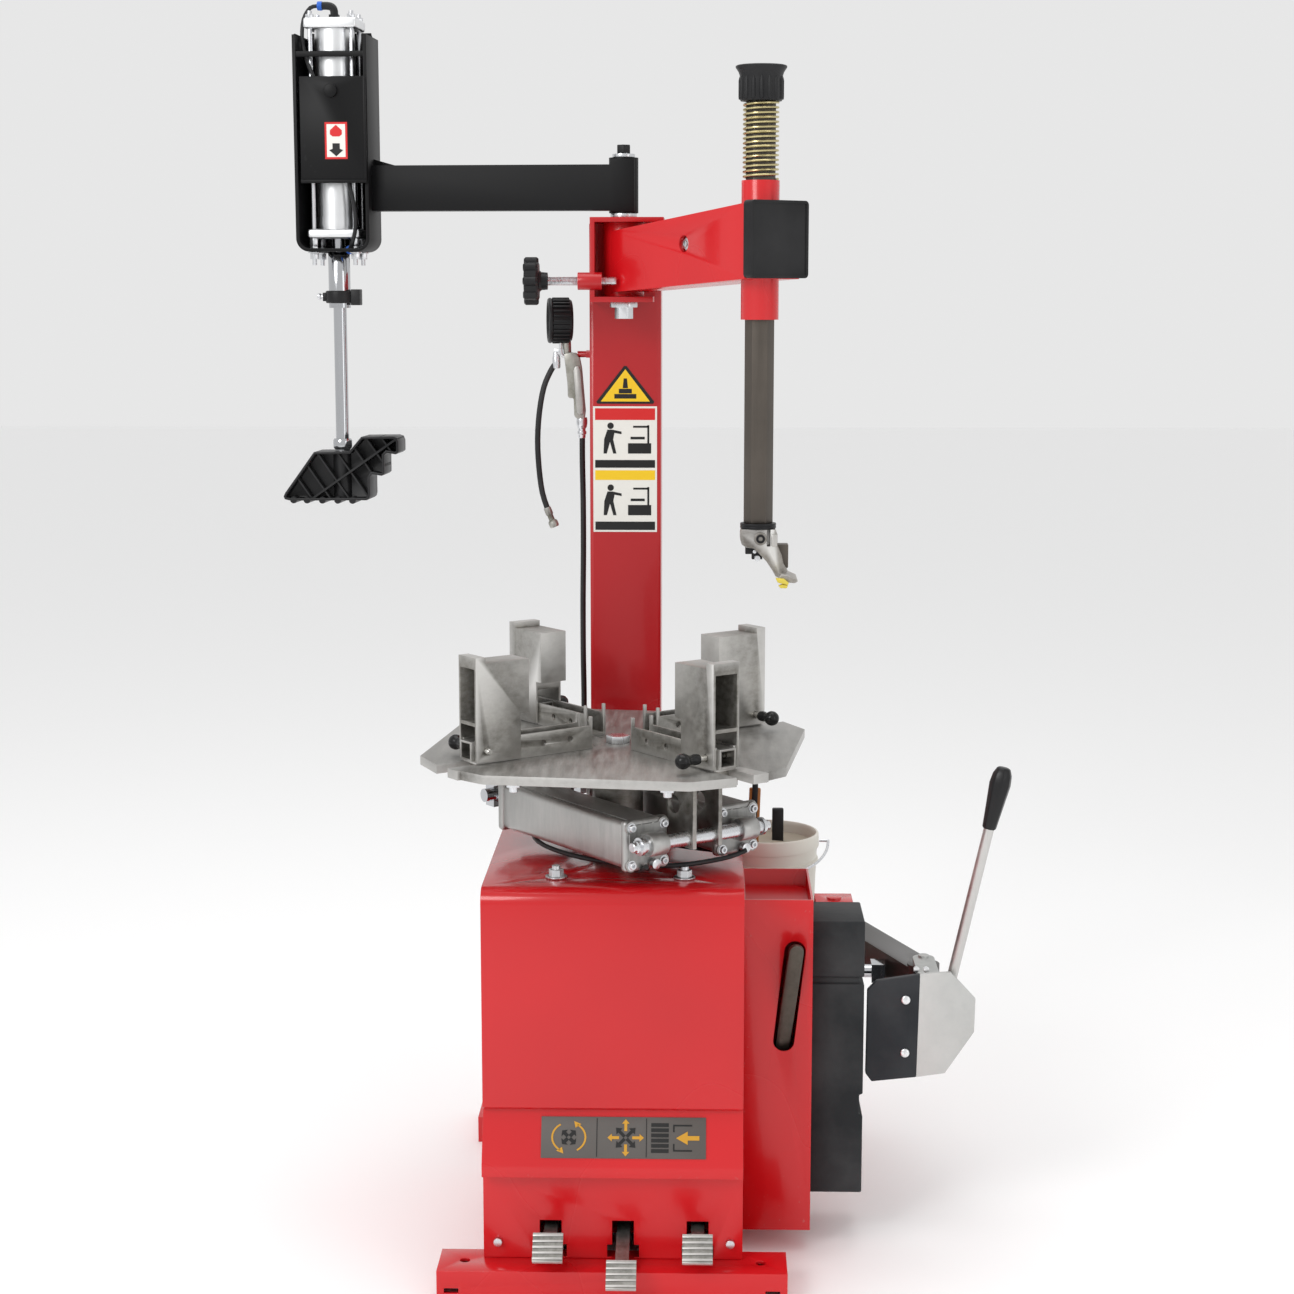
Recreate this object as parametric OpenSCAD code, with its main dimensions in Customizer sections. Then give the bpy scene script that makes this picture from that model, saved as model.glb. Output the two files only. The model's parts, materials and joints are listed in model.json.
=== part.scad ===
// Swing-arm tyre changer with a press arm, for a car and motorcycle workshop.
// Origin: on the floor under the turntable's axis. +X right, +Y to the rear, +Z up. Millimetres.

/* [Cabinet and base] */
// Width of the cabinet
cabinet_w = 358; // [340:2:380]
// Cabinet front face, measured forward from the turntable axis
cabinet_front = 225; // [215:1:240]
// Cabinet rear face, measured back from the turntable axis
cabinet_rear = 200; // [190:1:205]
// Height of the cabinet's top
cabinet_top = 565; // [555:1:568]
// Thickness of the cabinet's sheet
sheet = 3; // [2:0.5:4]
// Overall width of the feet
foot_w = 480; // [460:5:520]
// Height of the feet
foot_h = 42; // [40:1:42]
// Radius of the floor bolt holes
anchor_r = 7; // [5:0.5:9]

/* [Turntable] */
// Height of the table plate's top face
table_top = 725; // [725:0.5:726]
// Thickness of the table plate
table_t = 12.5; // [11:0.5:12.5]
// Turn of the whole table from square, in degrees
table_turn = -7.6; // [-10:0.1:10]
// Width of the jaw slots
slot_w = 29; // [29:0.5:32]
// Spindle radius
spindle_r = 36; // [32:1:38]
// Inner end of a jaw's rail at rest
rail_in = 57; // [56:1:62]
// Outer end of a jaw's rail at rest
rail_out = 250; // [245:1:252]
// Height of a jaw tower's top
tower_top = 865; // [850:1:870]

/* [Column and swing arm] */
// Width and depth of the column
column_w = 110; // [100:2:112]
// Column front face, measured back from the turntable axis
column_front = 332; // [328:1:340]
// Height of the yoke's top plate
column_top = 1474; // [1474:1:1476]
// Distance of the arm's pivot behind the turntable axis
pivot_y = 272; // [270:1:274]
// Arm direction, degrees from +X
arm_turn = -52.8; // [-54:0.1:-50]
// Distance from the arm's pivot to the tool shaft
arm_reach = 329; // [320:1:335]
// Width across flats of the tool shaft
shaft_af = 36; // [30:0.5:36]

/* [Press arm] */
// Press arm direction, degrees from +X
press_turn = 176.3; // [170:0.1:179]
// Distance from the pivot to the press cylinder's axis
press_reach = 436; // [430:1:440]

/* [Bead breaker] */
// Pivot of the bead breaker's arm
bead_pivot = [335, 385]; // [320:1:340]
// Front joint of the bead breaker's arm
bead_front = [452, 88]; // [440:1:460]
// Height of the arm's centre line
bead_z = 346; // [340:1:350]

/* [Hidden] */
$fn = 48;
hose_sides = 10;
// Gap between parts that slide or turn on each other, and a running fit on a shaft
gap = 0.3;
fit = 0.06;
plate_z = table_top - table_t;
rest_z = table_top + gap;
cap_z = 621;
cap_v = 78;
bar_u = 198;
worm_y = -69.5;
worm_z = 432.5;
motor_z = 200;
pulley_x0 = 112;
pulley_x1 = 134;
gear_pulley_r = 50;
motor_pulley_r = 25;
pedal_y = -140;
pedal_z = 80;
pedal_x = [-86, 14, 117];
bead_rod_y = 140;
pail = [222, 290];
pail_base = 308;
pail_rim = 527;
bail_z = 512;
bolt_r = 12.5;
stop_y = 223;
stop_z = 1380;
stop_r = 6.5;
beam_end = arm_reach + 26.5;
centre_bolt_r = 9.8;
shaft_corner = shaft_af / sqrt(3);
press_depth = 45;
jaw_turns = [table_turn - 45, table_turn + 45, table_turn + 135, table_turn + 225];
red = "#c8262b";
black = "#202124";
steel = "#96948f";
bright = "#c9cbcd";
alloy = "#b4b6b8";

// Inflator's tyre hose and air feed: points of each route
tyre_hose = [[-108, 372, 1264], [-110, 372, 1255], [-119, 372, 1240], [-129, 371, 1216],
    [-136, 370, 1178], [-139, 369, 1134], [-137, 368, 1090], [-132, 367, 1052], [-123, 366, 1024]];
feed_hose = [[-69, 372, 1141], [-69, 372, 1100], [-68, 372, 1040], [-68, 373, 960], [-69, 374, 880],
    [-69, 374, 800], [-68, 373, 730], [-68, 372, 656.1]];
// Air lines under the clamp cylinders, in the table's own turn
clamp_lines = [[[-120, -78, 583], [-60, -66, 577], [0, -50, 575], [60, -62, 577], [120, -72, 583]],
    [[-120, 78, 583], [-60, 66, 577], [0, 50, 575], [60, 62, 577], [120, 72, 583]]];

// ---- shared shapes ----

module block(x, y, z) {
    translate([x[0], y[0], z[0]]) cube([x[1] - x[0], y[1] - y[0], z[1] - z[0]]);
}

module bar_x(x0, x1, y, z, r) {
    translate([x0, y, z]) rotate([0, 90, 0]) cylinder(h = x1 - x0, r = r);
}

module bar_y(y0, y1, x, z, r) {
    translate([x, y0, z]) rotate([-90, 0, 0]) cylinder(h = y1 - y0, r = r);
}

module bar_z(z0, z1, x, y, r) {
    translate([x, y, z0]) cylinder(h = z1 - z0, r = r);
}

module hex_z(z0, z1, x, y, across) {
    translate([x, y, z0]) cylinder(h = z1 - z0, r = across / sqrt(3), $fn = 6);
}

// Rectangle with round corners, centred
module round_rect(w, h, r) {
    square([w - 2 * r, h], center = true);
    square([w, h - 2 * r], center = true);
    for (sx = [-1, 1], sy = [-1, 1]) {
        translate([sx * (w / 2 - r), sy * (h / 2 - r)]) circle(r);
    }
}

// Pushes a profile drawn in Y and Z along X
module along_x(x0, x1) {
    translate([x0, 0, 0]) rotate([90, 0, 90]) linear_extrude(x1 - x0) children();
}

// Pushes a profile drawn in X and Z along +Y
module along_y(y0, y1) {
    translate([0, y1, 0]) rotate([90, 0, 0]) linear_extrude(y1 - y0) children();
}

// Two circles and the straight runs that join them, drawn up the page
module belt_outline(rise, low_r, high_r) {
    lean = asin((high_r - low_r) / rise);
    circle(low_r);
    translate([0, rise]) circle(high_r);
    polygon([[low_r * cos(lean), -low_r * sin(lean)], [high_r * cos(lean), rise - high_r * sin(lean)],
        [-high_r * cos(lean), rise - high_r * sin(lean)], [-low_r * cos(lean), -low_r * sin(lean)]]);
}

// Round tube of rings across a list of points
function unit(v) = v / norm(v);
function heading(p, i) = unit(p[min(i + 1, len(p) - 1)] - p[max(i - 1, 0)]);
function ring(p, i, r, side) = let (t = heading(p, i), a = unit(cross(t, side)), b = cross(t, a))
    [for (k = [0:hose_sides - 1]) p[i] + r * (cos(360 * k / hose_sides) * a + sin(360 * k / hose_sides) * b)];

module hose(p, r, side) {
    rings = len(p);
    points = [for (i = [0:rings - 1]) each ring(p, i, r, side)];
    walls = [for (i = [0:rings - 2], k = [0:hose_sides - 1])
        let (n = (k + 1) % hose_sides, a = i * hose_sides, b = a + hose_sides)
        [a + k, b + k, b + n, a + n]];
    start = [for (k = [0:hose_sides - 1]) k];
    finish = [for (k = [hose_sides - 1:-1:0]) (rings - 1) * hose_sides + k];
    polyhedron(points, concat(walls, [start, finish]));
}

// Rounds a route of points: three steps between each pair on a cubic through them
function route(p) = [for (i = [0:len(p) - 2], s = [0, 1 / 3, 2 / 3]) curve_at(p, i, s), p[len(p) - 1]];
function curve_at(p, i, s) = let (
    a = p[max(i - 1, 0)], b = p[i], c = p[i + 1], d = p[min(i + 2, len(p) - 1)])
    0.5 * (2 * b + (c - a) * s + (2 * a - 5 * b + 4 * c - d) * s * s + (3 * b - a - 3 * c + d) * s * s * s);

// ---- base and cabinet ----

module base_frame() {
    front = [-275, -200];
    rear = [320, 455];
    half = foot_w / 2;
    wall = 5;
    color(red) difference() {
        union() {
            block([-half, half], front, [0, foot_h]);
            block([-half, half], rear, [0, foot_h]);
            for (x = [-175, 130]) block([x, x + 45], [front[1] - 1, rear[0] + 1], [0, foot_h]);
            block([-131, 131], [-40, 40], [0, 8]);
        }
        block([-half + wall, half - wall], [front[0] + wall, front[1] - wall], [-1, foot_h - wall]);
        block([-half + wall, half - wall], [rear[0] + wall, rear[1] - wall], [-1, foot_h - wall]);
        for (x = [-1, 1], y = [-238, 400]) bar_z(-1, foot_h + 1, x * 204, y, anchor_r);
        for (x = [-1, 1]) block([x * 220 - 10, x * 220 + 10], [front[0] - 1, front[0] + wall + 1], [10, 17]);
    }
}

// Side outline of the cabinet: overhanging upper front, sloped panel, ledge, lower plate
module cabinet_side(inset) {
    front = -cabinet_front + inset;
    back = cabinet_rear - inset;
    roof = cabinet_top - inset;
    round_r = 22 - inset;
    polygon([[front - 3, foot_h + gap], [front - 3, 166],
        [front - 23, 166 + inset], [front - 23, 184 - inset],
        [front + 10, 252], [front, 258 + inset], [front, roof - round_r], [front + round_r, roof - round_r],
        [front + round_r, roof], [back, roof], [back, foot_h + gap]]);
    translate([front + round_r, roof - round_r]) circle(round_r);
}

module cabinet_shell() {
    half = cabinet_w / 2;
    color(red) difference() {
        along_x(-half, half) cabinet_side(0);
        along_x(-half + sheet, half - sheet) cabinet_side(sheet);
        block([-half + sheet, half - sheet], [-cabinet_front, cabinet_rear - sheet],
            [foot_h - 1, foot_h + 2]);
        bar_z(cabinet_top - 2 * sheet, cabinet_top + 1, 0, 0, 48);
        for (x = [-80, 97], y = [-155, 150]) bar_z(cabinet_top - 2 * sheet, cabinet_top + 1, x, y, 6.2);
        bar_x(half - 2 * sheet, half + 1, bead_rod_y, bead_z, 16);
        for (x = pedal_x) {
            block([x - 15, x + 15], [-cabinet_front - 4, -cabinet_front + 3], [40, 97]);
            block([x - 22, x + 22], [-cabinet_front - 4, -cabinet_front + 3], [44, 62]);
        }
    }
}

module cabinet_screws() {
    color(bright) {
        for (x = [-80, 97], y = [-155, 150]) {
            bar_z(cabinet_top + 0.1, cabinet_top + 2.5, x, y, 15);
            hex_z(cabinet_top + 2.5, cabinet_top + 12, x, y, 18);
            bar_z(cabinet_top - 16.9, cabinet_top + 17, x, y, 5.9);
        }
        for (x = [-159, 162]) bar_y(-234.5, -228.1, x, 66, 6);
        for (z = [150, 458]) bar_x(-cabinet_w / 2 - 6, -cabinet_w / 2 - 0.1, -150, z, 6);
    }
}

module control_plate() {
    lean = atan(33 / 68);
    color("#6f6a64") translate([15, -cabinet_front - 23, 184]) rotate([-lean, 0, 0])
        translate([-113, -1.7, 10]) cube([226, 1.6, 56]);
}

module side_housing() {
    x = [cabinet_w / 2 + 1, 278];
    y = [-100, 80];
    z = [32, 520];
    color(red) difference() {
        block(x, y, z);
        block([x[0] + sheet, x[1] - sheet], [y[0] + sheet, y[1] - sheet], [z[0] + sheet, z[1] - 28]);
        block([x[0] + sheet, x[1] - sheet], [y[0] + sheet, y[1] - sheet], [z[1] - 25, z[1] + 1]);
        translate([238, 0, 314]) rotate([0, 6.4, 0]) {
            block([-15, 15], [y[0] - 1, y[0] + sheet + 1], [0, 132]);
            bar_y(y[0] - 1, y[0] + sheet + 1, 0, 0, 15);
            bar_y(y[0] - 1, y[0] + sheet + 1, 0, 132, 15);
        }
    }
}

module bead_pad() {
    x = [278.2, 354];
    y = [-60, 50];
    color(black) difference() {
        block(x, y, [73, 478]);
        block([x[1] - 6, x[1] + 1], [y[0] - 1, y[1] + 1], [386, 396]);
        block([x[0] - 1, x[1] + 1], [y[0] - 1, y[0] + 5], [386, 396]);
        block([x[1] - 5, x[1] + 1], [y[0] - 1, y[1] + 1], [190, 221]);
    }
}

// ---- column with its welded yoke ----

module column() {
    half = column_w / 2;
    back = column_front + column_w;
    plate = 7;
    yoke_y = [222, column_front + 1];
    bosses = [-67, -31];
    color(red) difference() {
        union() {
            block([-half, half], [column_front, back], [foot_h, column_top - plate]);
            block([-90, 90], [column_front - 8, 450], [foot_h, foot_h + 12]);
            block([-50, 50], [cabinet_rear, column_front + 1], [470, 530]);
            block([-49, 61], [yoke_y[0], back], [column_top - plate, column_top]);
            block([-49, -49 + plate], yoke_y, [1349, column_top]);
            block([-49, 45], yoke_y, [1349, 1357]);
            bar_x(bosses[0], bosses[1], stop_y, stop_z, 13);
            bar_x(-75.9, -54, 372, 1268, 5);
            block([-62, -54], [360, 384], [1262.8, 1274]);
            block([-80, -54], [362, 382], [640, 656]);
        }
        block([-half + 5, half - 5], [column_front + 5, back - 5], [foot_h + 12, column_top - plate]);
        bar_x(bosses[0] - 1, bosses[1] + 1, stop_y, stop_z, stop_r + fit);
        bar_z(1340, column_top + 1, 0, pivot_y, bolt_r + fit);
        block([-46, 46], [cabinet_rear - 1, column_front - 4], [474, 526]);
    }
}

module pivot_bolt() {
    color(bright) {
        hex_z(1324, 1341, 0, pivot_y, 24);
        bar_z(1341, 1348.9, 0, pivot_y, 21);
        bar_z(1340, 1564, 0, pivot_y, bolt_r);
        bar_z(column_top + 0.1, column_top + 6.5, 0, pivot_y, 20);
        bar_z(1563, 1568, 0, pivot_y, 17);
        bar_z(1568, 1580, 0, pivot_y, 9.5);
    }
}

// ---- drive and controls inside the cabinet ----

module gearbox() {
    color("#5b5f63") difference() {
        union() {
            block([-90, 90], [-110, 70], [388, 505]);
            bar_z(505, 547, 0, 0, 56);
            for (s = [-1, 1]) block([s * 89 - 20, s * 89 + 20], [-175, 170], [547, 561]);
            block([-105, 105], [-60, 60], [547, 561]);
        }
        bar_z(380, 570, 0, 0, spindle_r + fit);
        bar_z(414, 450, 0, 0, 63);
        bar_x(-74, 74, worm_y, worm_z, 16);
        bar_x(73, 91, worm_y, worm_z, 9 + fit);
        for (x = [-80, 97], y = [-155, 150]) bar_z(540, 565, x, y, 6.2);
    }
}

module drive_motor() {
    color("#3d4347") difference() {
        union() {
            bar_x(-95, 85, worm_y, motor_z, 60);
            for (x = [-60, 40]) block([x, x + 10], [worm_y - 30, worm_y + 30], [motor_z + 40, 387.9]);
            block([-40, 25], [worm_y + 40, worm_y + 75], [motor_z - 25, motor_z + 35]);
        }
        bar_x(50, 90, worm_y, motor_z, 9 + fit);
    }
}

module drive_belt() {
    color("#1b1b1b") translate([0, worm_y, motor_z]) along_x(pulley_x0 + 4, pulley_x1 - 4) difference() {
        belt_outline(worm_z - motor_z, motor_pulley_r + 5, gear_pulley_r + 5);
        belt_outline(worm_z - motor_z, motor_pulley_r + gap, gear_pulley_r + gap);
    }
}

module worm_shaft() {
    color(steel) {
        bar_x(-60, 60, worm_y, worm_z, 12);
        bar_x(59, pulley_x1 + 6, worm_y, worm_z, 9);
        bar_x(pulley_x0, pulley_x1, worm_y, worm_z, gear_pulley_r);
    }
}

module motor_pulley() {
    color(steel) {
        bar_x(52, pulley_x1 + 6, worm_y, motor_z, 9);
        bar_x(pulley_x0, pulley_x1, worm_y, motor_z, motor_pulley_r);
    }
}

// Pedal axle on its two ears, and a switch or air valve behind each pedal
module pedal_unit() {
    color(steel) {
        bar_x(-158, 158, pedal_y, pedal_z, 6);
        for (x = [-158, 152]) block([x, x + 6], [pedal_y - 18, pedal_y + 18], [foot_h + 0.1, 96]);
    }
    color("#2b2d30") for (x = pedal_x) {
        block([x - 20, x + 20], [-88, -30], [46, 96]);
        bar_y(-96, -87, x, 78, 5);
        bar_z(95, 106, x, -45, 6);
    }
}

// Pedal: hub, tail, arm that falls by drop to the slot, sloping ribbed pad at [y, z]
module pedal(x, pad_y, pad_z, drop) {
    slot_y = -230;
    color(alloy) difference() {
        union() {
            bar_x(x - 13, x + 13, pedal_y, pedal_z, 13);
            block([x - 9, x + 9], [pedal_y, pedal_y + 32], [pedal_z - 7, pedal_z + 7]);
            along_x(x - 9, x + 9) polygon([
                [pedal_y, pedal_z + 7], [pedal_y, pedal_z - 8], [slot_y, pedal_z - 8 - drop],
                [pad_y + 6, pad_z - 12], [pad_y - 4, pad_z + 2], [slot_y, pedal_z + 6 - drop]]);
            translate([x, pad_y, pad_z]) rotate([48, 0, 0]) {
                block([-20.5, 20.5], [-20, 20], [-4, 4]);
                for (k = [-2:2]) block([-20.5, 20.5], [k * 8 - 1.5, k * 8 + 1.5], [3, 6]);
            }
        }
        bar_x(x - 14, x + 14, pedal_y, pedal_z, 6 + fit);
    }
}

module bead_cylinder() {
    color(alloy) difference() {
        union() {
            bar_x(-75, 172, bead_rod_y, bead_z, 45);
            block([-75, -60], [bead_rod_y - 44, bead_rod_y + 44], [bead_z - 44, 384]);
            block([157, 175.8], [bead_rod_y - 44, bead_rod_y + 44], [bead_z - 44, 384]);
        }
        bar_x(-65, 160, bead_rod_y, bead_z, 41);
        bar_x(159, 180, bead_rod_y, bead_z, 10 + fit);
    }
}

module bead_rod() {
    color(bright) {
        bar_x(-62, -50, bead_rod_y, bead_z, 41 - gap);
        bar_x(-51, 380, bead_rod_y, bead_z, 10);
        block([378, 398], [bead_rod_y - 16, bead_rod_y + 16], [bead_z - 14, bead_z + 14]);
    }
}

// Shelf for the pail with the ears that carry the bead breaker's arm
module pivot_bracket() {
    ear = [bead_pivot[0] - 30, bead_pivot[0] + 30];
    color(red) {
        block([55.1, ear[1]], [350, 421], [300, pail_base - 0.1]);
        block([125, 310], [205, 351], [300, pail_base - 0.1]);
        block([55.1, ear[1]], [415.5, 421], [300, 392]);
        block(ear, [355, 421], [384, 392]);
        block([125, cabinet_w / 2 - 4], [200.1, 206], [250, 330]);
        bar_z(296, 396, bead_pivot[0], bead_pivot[1], 12);
    }
}

// ---- inflator ----

module inflator_gun() {
    color(alloy) {
        bar_z(1150, 1262, -69, 372, 11);
        bar_z(1141.1, 1150, -69, 372, 7);
        block([-82, -66], [364, 380], [1240, 1262]);
        block([-112, -80], [366, 378], [1268, 1283]);
        block([-92, -76], [366, 378], [1255, 1283]);
        block([-86, -81], [366, 378], [1172, 1256]);
        bar_z(1264.7, 1270, -108, 372, 6);
    }
}

module pressure_gauge() {
    color(black) translate([-103, 372, 1320]) rotate([0, 90, 8]) {
        translate([0, 0, -19]) cylinder(h = 38, r = 36);
    }
}

module feed_hose() {
    color(black) hose(route(feed_hose), 4.5, [0, 1, 0]);
}

module tyre_hose() {
    color(black) hose(route(tyre_hose), 4.5, [0, 1, 0]);
}

module tyre_chuck() {
    color(alloy) translate(tyre_hose[len(tyre_hose) - 1]) rotate([0, 158, 0]) {
        translate([0, 0, 0.6]) cylinder(h = 18, r = 5.5);
        translate([0, 0, 18]) cylinder(h = 10, r = 8);
    }
}

// ---- turntable ----

// Four wide lobes with a slot along each diagonal
module table_outline() {
    for (k = [0:3]) rotate(90 * k) {
        polygon([[0, 0], [218, -198], [256, -140], [256, 140], [218, 198]]);
    }
}

module table_plate() {
    color(steel) rotate([0, 0, table_turn]) difference() {
        translate([0, 0, plate_z]) linear_extrude(table_t) union() {
            table_outline();
            for (k = [0:3]) rotate(90 * k + 45) square([296, 40]);
        }
        for (k = [0:3]) rotate([0, 0, 90 * k + 45]) {
            block([62, 320], [-slot_w / 2, slot_w / 2], [plate_z - 1, table_top + 1]);
            block([294, 320], [-40, 60], [plate_z - 1, table_top + 1]);
        }
        bar_z(plate_z - 1, table_top + 1, 0, 0, 10);
    }
}

module table_spindle() {
    color(steel) difference() {
        union() {
            bar_z(396, 696, 0, 0, spindle_r);
            bar_z(695, plate_z, 0, 0, 56);
            bar_z(416, 448, 0, 0, 56);
        }
        bar_z(690, plate_z + 1, 0, 0, centre_bolt_r + fit);
    }
}

module table_bolts() {
    color(bright) {
        hex_z(table_top + 0.1, table_top + 10, 0, 0, 30);
        bar_z(695, table_top + 1, 0, 0, centre_bolt_r);
        for (k = [0:3], s = [-1, 1]) rotate([0, 0, table_turn + 90 * k]) {
            hex_z(plate_z - 9, plate_z - 0.1, 222, s * 105, 18);
            bar_z(plate_z - 16, plate_z - 8, 222, s * 105, 6);
        }
    }
}

// Jaw along +X: shoe and neck under the table, open-topped rail, clamp-on tower and its nested tube
module jaw(turn, hangers) {
    color(steel) rotate([0, 0, turn]) {
        difference() {
            union() {
                block([rail_in, rail_out], [-18, 18], [rest_z, rest_z + 33]);
                block([rail_in, rail_in + 4], [-18, 18], [rest_z, rest_z + 46]);
                block([120, 240], [-slot_w / 2 + gap, slot_w / 2 - gap], [plate_z - 2, rest_z + 1]);
                block([120, 240], [-30, 30], [plate_z - 12 - gap, plate_z - gap]);
                if (hangers) for (s = [-1, 1])
                    block([150, 212], [s * 22 - 3, s * 22 + 3], [612, plate_z - 11]);
            }
            block([rail_in - 1, rail_out + 1], [-14, 14], [rest_z + 4, rest_z + 60]);
            for (x = [95, 140, 235]) bar_y(-30, 30, x, 743, x < 200 ? 4.5 : 5.3);
            if (hangers) bar_y(-30, 30, 168, 668, 13);
            if (hangers) bar_y(-30, 30, bar_u, 625, 10 + fit);
        }
        difference() {
            union() {
                block([180, 252], [-22.1, 22.1], [rest_z + 3, tower_top]);
                block([236, 252], [-22.1, 22.1], [tower_top - 1, tower_top + 8]);
                block([166, 184], [-22.1, 22.1], [790, tower_top]);
            }
            block([179, 253], [-18.2, 18.2], [rest_z + 2, 778]);
            block([184, 253], [-18.2, 18.2], [783, tower_top - 8]);
            bar_y(-30, 30, 235, 743, 5.3);
        }
        difference() {
            block([188, 256], [-13.8, 13.8], [rest_z + 4.2, rest_z + 31]);
            block([187, 257], [-10.8, 10.8], [rest_z + 7.2, rest_z + 28]);
            bar_y(-30, 30, 235, 743, 5.3);
        }
    }
}

module lock_pin(turn) {
    rotate([0, 0, turn]) {
        color(bright) bar_y(-52, 30, 235, 743, 5);
        color(black) translate([235, -60, 743]) sphere(11);
        color(black) bar_y(-56, -34, 235, 743, 7.5);
    }
}

// One clamp cylinder's body along +X at the given side
module clamp_body(v) {
    difference() {
        union() {
            block([-130, 165], [v - 34, v + 34], [cap_z - 33, cap_z + 33]);
            for (u = [[165, 180], [-145, -130]]) {
                translate([u[0], v, cap_z]) rotate([90, 0, 90])
                    linear_extrude(u[1] - u[0]) round_rect(74, 72, 8);
            }
            block([179, 200], [v - 13, v + 13], [611, 639]);
            bar_y(v - 13, v + 13, bar_u, 625, 16);
            for (s = [-1, 1], z = [-1, 1]) bar_x(180, 186, v + s * 28, cap_z + z * 27, 6);
        }
        bar_x(-131, 165, v, cap_z, 29);
        bar_x(-146, -129, v, cap_z, 9 + fit);
        bar_y(v - 14, v + 14, bar_u, 625, 10 + fit);
    }
}

module clamp_cylinders() {
    rotate([0, 0, jaw_turns[0]]) {
        color(alloy) for (v = [-cap_v, cap_v]) clamp_body(v);
        color(bright) bar_y(-118, 118, bar_u, 625, 10);
        color(black) for (line = clamp_lines) hose(line, 4, [0, 0, 1]);
    }
}

module clamp_rods() {
    rotate([0, 0, jaw_turns[0]]) color(bright) {
        for (v = [-cap_v, cap_v]) {
            bar_x(-208, 20, v, cap_z, 9);
            bar_x(8, 20, v, cap_z, 29 - gap);
        }
        bar_y(-104, 104, -bar_u, cap_z + 4, 10);
        for (v = [-cap_v, cap_v]) block([-212, -190], [v - 14, v + 14], [cap_z - 14, cap_z + 18]);
    }
}

// ---- swing arm and tool shaft ----

// Side view of the beam, out along the arm
module beam_side(inset) {
    polygon([[0, 1363 + inset], [beam_end, 1382 + inset], [beam_end, 1485 - inset],
        [0, 1453 - inset]]);
}

module beam_solid(inset) {
    near = 29 - inset;
    far = 49 - inset;
    intersection() {
        along_y(-60, 60) beam_side(inset);
        translate([0, 0, 1300]) linear_extrude(250)
            polygon([[0, -near], [beam_end, -far], [beam_end, far], [0, near]]);
    }
}

module swing_beam() {
    color(red) translate([0, pivot_y, 0]) rotate([0, 0, arm_turn]) difference() {
        union() {
            beam_solid(0);
            bar_z(1357.4, column_top - 7.4, 0, 0, 31);
            bar_z(1326, 1517, arm_reach, 0, 26.5);
        }
        difference() {
            translate([45, 0, 0]) intersection() {
                beam_solid(5);
                block([0, arm_reach - 80], [-60, 60], [1300, 1550]);
            }
            bar_z(1300, 1530, arm_reach, 0, 26.5);
        }
        bar_z(1300, 1530, arm_reach, 0, shaft_corner + gap);
        bar_z(1340, 1480, 0, 0, bolt_r + fit);
        translate([205, 0, 1432]) rotate([90, 0, 0]) cylinder(h = 60, r = 12);
    }
}

module arm_end_cover() {
    color(black) translate([0, pivot_y, 0]) rotate([0, 0, arm_turn])
        translate([beam_end + 0.1, 0, 1436]) rotate([90, 0, 90]) linear_extrude(18) round_rect(101, 106, 7);
}

module shaft_spring() {
    wire = 1.8;
    color("#b7a75f") translate([0, pivot_y, 0]) rotate([0, 0, arm_turn]) translate([arm_reach, 0, 0]) {
        for (k = [0:17]) translate([0, 0, 1519.2 + k * 5.85])
            rotate_extrude() translate([23.8, 0]) circle(wire);
    }
}

// Places a child on the tool shaft's axis with the world's own directions
module on_shaft() {
    translate([arm_reach * cos(arm_turn), pivot_y + arm_reach * sin(arm_turn), 0]) children();
}

module hex_shaft() {
    color("#55534f") on_shaft() hex_z(1041, 1640, 0, 0, shaft_af);
}

module shaft_cap() {
    color(black) on_shaft() difference() {
        union() {
            bar_z(1624, 1668, 0, 0, 29);
            for (k = [0:15]) rotate([0, 0, 22.5 * k]) bar_z(1624, 1660, 28.2, 0, 3);
            translate([0, 0, 1658]) cylinder(h = 10, r1 = 29, r2 = 35.5);
            bar_z(1668, 1672, 0, 0, 35.5);
        }
        translate([0, 0, 1668]) cylinder(h = 5, r1 = 28, r2 = 32);
        hex_z(1620, 1640.1, 0, 0, shaft_af + 0.1);
    }
}

// Cast duck head: collar, socket, neck that sweeps down to the right, flared foot
module mount_head() {
    color(steel) on_shaft() {
        bar_z(1034, 1041, 0, 0, 25.5);
        bar_z(1004, 1034, 0, 0, 22);
        along_y(-16, 16) polygon([[-20, 1010], [-14, 986], [8, 966], [30, 962], [44, 1001], [36, 1016],
            [18, 1016], [18, 1008]]);
        translate([0, 0, 959]) intersection() {
            translate([26, -6, 0]) cylinder(h = 16, r1 = 33, r2 = 22);
            block([-2, 58], [-40, 22], [0, 16]);
        }
        bar_y(-26, 26, 2, 1021, 6);
    }
}

module head_insert() {
    color("#d6c23a") on_shaft() block([10, 44], [-48, -39.9], [959.5, 968]);
}

module stop_screw() {
    color(bright) bar_x(-112, -9, stop_y, stop_z, stop_r);
}

module stop_knob() {
    color(black) difference() {
        union() {
            bar_x(-148, -124, stop_y, stop_z, 29);
            bar_x(-126, -112, stop_y, stop_z, 13);
            for (k = [0:7]) translate([0, stop_y, stop_z]) rotate([45 * k, 0, 0])
                bar_x(-146, -126, 0, 28, 6.5);
        }
        bar_x(-124, -111, stop_y, stop_z, stop_r + fit);
    }
}

// ---- press arm ----

module press_place() {
    translate([0, pivot_y, 0]) rotate([0, 0, press_turn]) children();
}

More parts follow.
